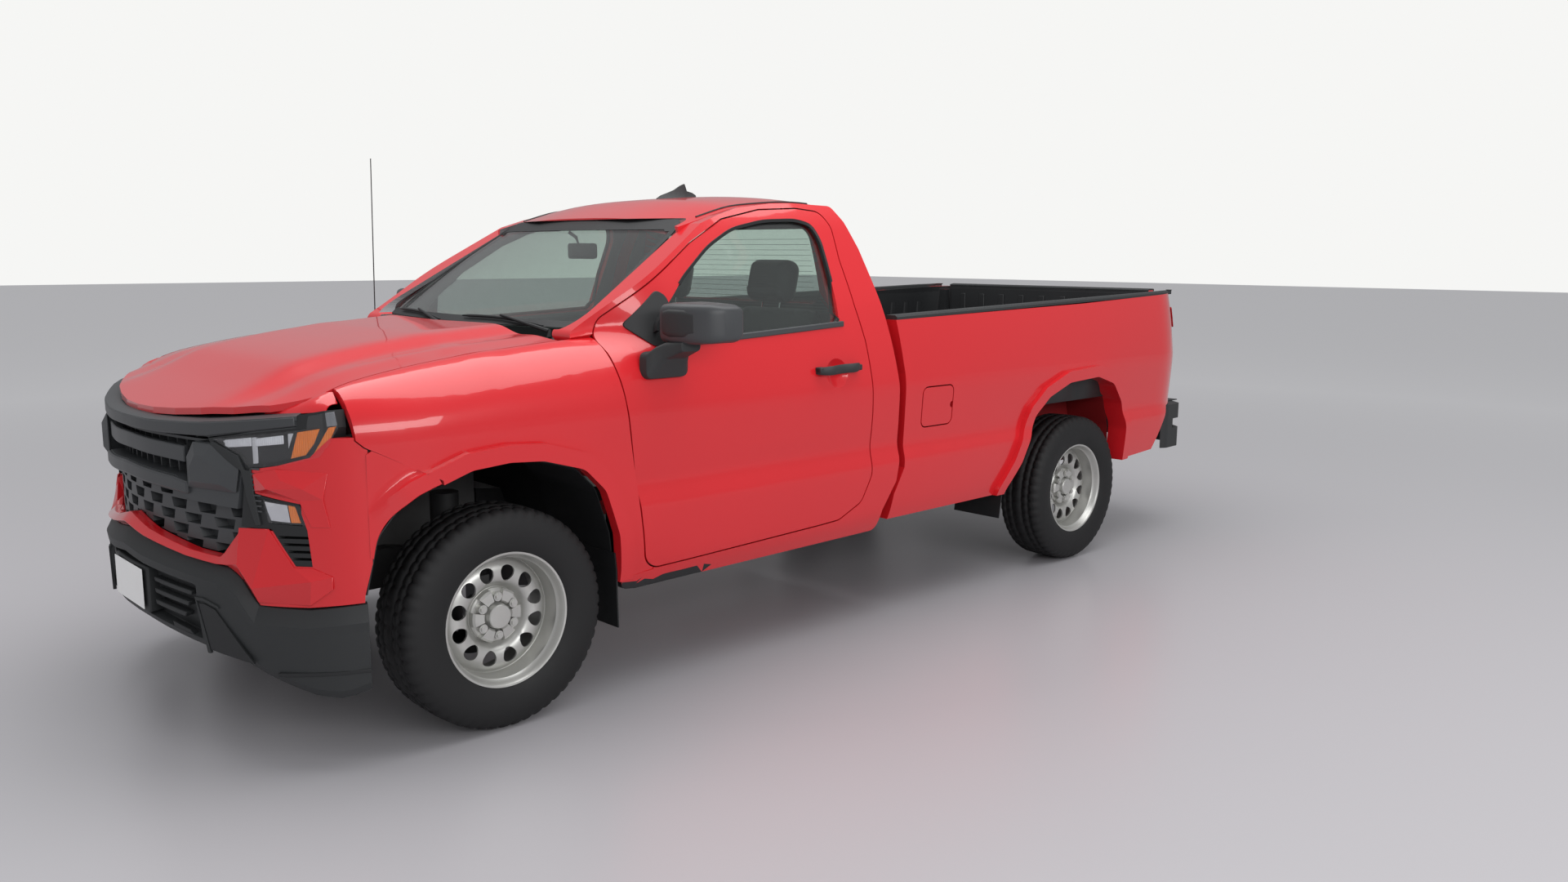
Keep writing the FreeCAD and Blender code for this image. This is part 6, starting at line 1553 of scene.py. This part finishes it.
FLOOR_HALF = 60
# Floor colours: a darker painted shade near the truck and the pale floor far away, with the distances of the
# fade between them
FLOOR_NEAR_SHADE, FLOOR_FAR = (0.385, 0.376, 0.394), (0.74, 0.74, 0.745)
FLOOR_SHADE_FADE = (2.0, 11.0)
AMBIENT = ((0.97, 0.97, 1.0, 1), 0.68)
REFLECTED = ((0.97, 0.97, 1.0, 1), 0.36)
BACKGROUND = ((0.97, 0.97, 0.955, 1), 0.95)
# Each lamp: its place, size, setting for its power, and the point that it lights
LAMPS = (
    ("overhead", (0.5, 0.5, 5.5), (8, 4), "overhead_power", (0, 0, 0)),
    ("left_soft", (2.0, 8.5, 3.6), (8, 2.0), "side_power", (0, 0, 0.8)),
)
CAMERA_PLACE = (4.1283, 4.5875, 1.6651)
CAMERA_YAW, CAMERA_PITCH, CAMERA_ROLL = -2.3370, -0.1544, 0.0046
LENS_MM, SENSOR_MM = 27.893, 36.0


def pale_floor():
    """Pale floor with painted shade: its colour is darker near the truck and grows paler away from it."""
    bm = bmesh.new()
    bmesh.ops.create_grid(bm, x_segments=2, y_segments=2, size=FLOOR_HALF)
    mesh = mesh_of("floor", bm)
    material, tree, shader = shader_nodes("pale_floor")
    place = tree.nodes.new("ShaderNodeTexCoord")
    reach = tree.nodes.new("ShaderNodeVectorMath")
    reach.operation = "LENGTH"
    tree.links.new(place.outputs["Object"], reach.inputs[0])
    away = spread(tree, reach.outputs["Value"], 0.0, 1.0)
    away.node.inputs["From Min"].default_value, away.node.inputs["From Max"].default_value = FLOOR_SHADE_FADE
    # Painted shade: the floor colour darkens towards the truck
    two_tone(tree, shader, FLOOR_NEAR_SHADE, FLOOR_FAR, away)
    add_bump(tree, shader, grain(tree, 0.8, 6), 0.002, 0.2)
    shader.inputs["Roughness"].default_value = 0.32
    mesh.materials.append(material)
    floor = bpy.data.objects.new("floor", mesh)
    bpy.context.scene.collection.objects.link(floor)


def studio_light():
    """Even world light, dimmer in reflections and pale behind the truck, and two broad lamps."""
    world = bpy.data.worlds.new("studio")
    world.use_nodes = True
    bpy.context.scene.world = world
    nodes, links = world.node_tree.nodes, world.node_tree.links
    path = nodes.new("ShaderNodeLightPath")
    shown = nodes["Background"]
    shown.inputs["Color"].default_value, shown.inputs["Strength"].default_value = AMBIENT
    for ray, (colour, strength) in (("Is Glossy Ray", REFLECTED), ("Is Camera Ray", BACKGROUND)):
        layer = nodes.new("ShaderNodeBackground")
        layer.inputs["Color"].default_value, layer.inputs["Strength"].default_value = colour, strength
        mix = nodes.new("ShaderNodeMixShader")
        links.new(path.outputs[ray], mix.inputs["Fac"])
        links.new(shown.outputs[0], mix.inputs[1])
        links.new(layer.outputs["Background"], mix.inputs[2])
        shown = mix
    links.new(shown.outputs["Shader"], nodes["World Output"].inputs["Surface"])
    for name, place, size, power, aim in LAMPS:
        lamp = bpy.data.lights.new(name, "AREA")
        lamp.shape = "RECTANGLE"
        lamp.size, lamp.size_y = size
        lamp.energy = getattr(look(), power)
        holder = bpy.data.objects.new(name, lamp)
        holder.location = place
        holder.rotation_mode = "QUATERNION"
        holder.rotation_quaternion = (Vector(aim) - Vector(place)).to_track_quat("-Z", "Y")
        bpy.context.scene.collection.objects.link(holder)


def photo_camera():
    """Camera at the photograph's angle."""
    flat = math.cos(CAMERA_PITCH)
    ahead = Vector((math.cos(CAMERA_YAW) * flat, math.sin(CAMERA_YAW) * flat, math.sin(CAMERA_PITCH)))
    right = ahead.cross(Vector((0, 0, 1))).normalized()
    upward = right.cross(ahead)
    side = math.cos(CAMERA_ROLL) * right + math.sin(CAMERA_ROLL) * upward
    top = -math.sin(CAMERA_ROLL) * right + math.cos(CAMERA_ROLL) * upward
    view = bpy.data.cameras.new("photo_view")
    view.lens = LENS_MM
    view.sensor_width = SENSOR_MM
    camera = bpy.data.objects.new("photo_view", view)
    camera.matrix_world = Matrix.Translation(CAMERA_PLACE) @ Matrix((side, top, -ahead)).transposed().to_4x4()
    bpy.context.scene.collection.objects.link(camera)
    bpy.context.scene.camera = camera


# Operators

class TRUCK_OT_finishes(bpy.types.Operator):
    """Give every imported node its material"""
    bl_idname = "truck.finishes"
    bl_label = "Paint and Plastics"

    def execute(self, context):
        for name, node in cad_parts.items():
            material = finish_of(node_finish(name))
            node.data.materials.clear()
            node.data.materials.append(material)
        cab = Vector((0.70, 0.0, 1.25))
        line_faces("cab_shell", "headliner", lambda spot, turn: (
            -0.08 < spot.x < 1.62 and abs(spot.y) < 0.93 and spot.z > 0.48 and turn.dot(cab - spot) > 0
            and (abs(turn.y) > 0.5 or abs(spot.y) < 0.62)))
        line_faces("cab_shell", "deep", lambda spot, turn: (
            spot.x > 1.05 and spot.z < 1.24 and abs(spot.y) < 0.965 and turn.dot(cab - spot) <= 0), 2)
        for name, side in SIDES:
            line_faces("door_" + name, "headliner", lambda spot, turn, s=side: turn.y * s < -0.4)
            # Wheel tub faces towards the wheel: their red paint is darkened as painted shade
            wheel = Vector((REAR_AXLE, side * 0.80, TYRE_RADIUS))
            line_faces("wheelhouse_" + name, "dull_paint", lambda spot, turn, w=wheel: turn.dot(w - spot) > 0)
        line_faces("bed_sides", "deep", lambda spot, turn: spot.z > 0.80 and (
            turn.y * spot.y < -0.2 or abs(spot.y) < 0.925 and -2.55 < spot.x < -0.14
            or turn.x > 0.8 and spot.x < -2.5))
        line_faces("tailgate", "deep", lambda spot, turn: turn.x > 0.5)
        line_faces("front_fenders", "deep", lambda spot, turn: turn.y * spot.y < -0.15)
        return {"FINISHED"}


class TRUCK_OT_wheels(bpy.types.Operator):
    """Build the four tyres and pressed steel wheels"""
    bl_idname = "truck.wheels"
    bl_label = "Wheels"

    def execute(self, context):
        tyre, rim = wheel_pieces()
        tyre.materials.append(finish_of("rubber"))
        rim.materials.append(finish_of("silver"))
        for axle, x in (("front", FRONT_AXLE), ("rear", REAR_AXLE)):
            for side, sign in SIDES:
                for kind, mesh in (("tyre", tyre), ("rim", rim)):
                    piece = bpy.data.objects.new("%s_detail_%s_%s" % (kind, axle, side), mesh)
                    context.scene.collection.objects.link(piece)
                    piece.location = (x, sign * HALF_TRACK, TYRE_RADIUS)
                    piece.rotation_euler = (0, 0, 0 if sign > 0 else math.pi)
                    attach(piece, "wheel_%s_%s" % (axle, side))
                    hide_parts("%s_%s_%s" % (kind, axle, side))
        return {"FINISHED"}


class TRUCK_OT_nose(bpy.types.Operator):
    """Build the front bumper, the plate, the hood corners and the painted lip"""
    bl_idname = "truck.nose"
    bl_label = "Front Bumper"

    def execute(self, context):
        front_bumper()
        hood_corners()
        plate()
        lower_lip()
        return {"FINISHED"}


class TRUCK_OT_lamps(bpy.types.Operator):
    """Build the headlamp lenses, reflectors and bezels"""
    bl_idname = "truck.lamps"
    bl_label = "Headlamps"

    def execute(self, context):
        headlamps()
        return {"FINISHED"}


class TRUCK_OT_grille(bpy.types.Operator):
    """Build the proud frame of the grille"""
    bl_idname = "truck.grille"
    bl_label = "Grille"

    def execute(self, context):
        grille_parts()
        return {"FINISHED"}


class TRUCK_OT_doors(bpy.types.Operator):
    """Build the mouldings, mirrors and handles of both doors"""
    bl_idname = "truck.doors"
    bl_label = "Door Trim"

    def execute(self, context):
        for name, side in SIDES:
            door_trim(name, side)
        return {"FINISHED"}


class TRUCK_OT_windshield(bpy.types.Operator):
    """Build the windshield border, the wipers and the cowl"""
    bl_idname = "truck.windshield"
    bl_label = "Windshield Trim"

    def execute(self, context):
        windshield_trim()
        return {"FINISHED"}


class TRUCK_OT_seat(bpy.types.Operator):
    """Build the stitched bench seat"""
    bl_idname = "truck.seat"
    bl_label = "Bench Seat"

    def execute(self, context):
        seat()
        return {"FINISHED"}


class TRUCK_OT_cabin(bpy.types.Operator):
    """Build the dash details and the cab linings"""
    bl_idname = "truck.cabin"
    bl_label = "Cab Lining"

    def execute(self, context):
        cab_inside()
        cab_lining()
        return {"FINISHED"}


class TRUCK_OT_bed(bpy.types.Operator):
    """Build the bed liner and the rail caps"""
    bl_idname = "truck.bed"
    bl_label = "Bed Liner"

    def execute(self, context):
        bed_liner()
        rail_caps()
        return {"FINISHED"}


class TRUCK_OT_tail(bpy.types.Operator):
    """Build the tailgate trim, tail lenses, step pads, plate and rear window trim"""
    bl_idname = "truck.tail"
    bl_label = "Tail"

    def execute(self, context):
        tail_parts()
        return {"FINISHED"}


class TRUCK_OT_roof(bpy.types.Operator):
    """Build the antennas and the roof channels"""
    bl_idname = "truck.roof"
    bl_label = "Roof"

    def execute(self, context):
        roof_parts()
        return {"FINISHED"}


class TRUCK_OT_stage(bpy.types.Operator):
    """Build the floor, the light and the camera"""
    bl_idname = "truck.stage"
    bl_label = "Stage"

    def execute(self, context):
        pale_floor()
        studio_light()
        photo_camera()
        context.scene.view_settings.view_transform = "Standard"
        return {"FINISHED"}


class TRUCK_PT_panel(bpy.types.Panel):
    """Lists the steps that dress the truck"""
    bl_label = "Truck"
    bl_idname = "TRUCK_PT_panel"
    bl_space_type = "VIEW_3D"
    bl_region_type = "UI"
    bl_category = "Truck"

    def draw(self, context):
        for name in TruckLook.__annotations__:
            self.layout.prop(context.scene.truck_look, name)
        for step in STEPS:
            self.layout.operator(step.bl_idname)


STEPS = (
    TRUCK_OT_finishes, TRUCK_OT_wheels, TRUCK_OT_nose, TRUCK_OT_lamps, TRUCK_OT_grille, TRUCK_OT_doors,
    TRUCK_OT_windshield, TRUCK_OT_seat, TRUCK_OT_cabin, TRUCK_OT_bed, TRUCK_OT_tail, TRUCK_OT_roof,
    TRUCK_OT_stage,
)
CLASSES = (TruckLook,) + STEPS + (TRUCK_PT_panel,)


def register():
    for item in CLASSES:
        bpy.utils.register_class(item)
    bpy.types.Scene.truck_look = bpy.props.PointerProperty(type=TruckLook)


def unregister():
    del bpy.types.Scene.truck_look
    for item in reversed(CLASSES):
        bpy.utils.unregister_class(item)


def main():
    """Register the add-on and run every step."""
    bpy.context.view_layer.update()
    register()
    for step in STEPS:
        group, name = step.bl_idname.split(".")
        getattr(getattr(bpy.ops, group), name)()


if __name__ == "__main__":
    main()
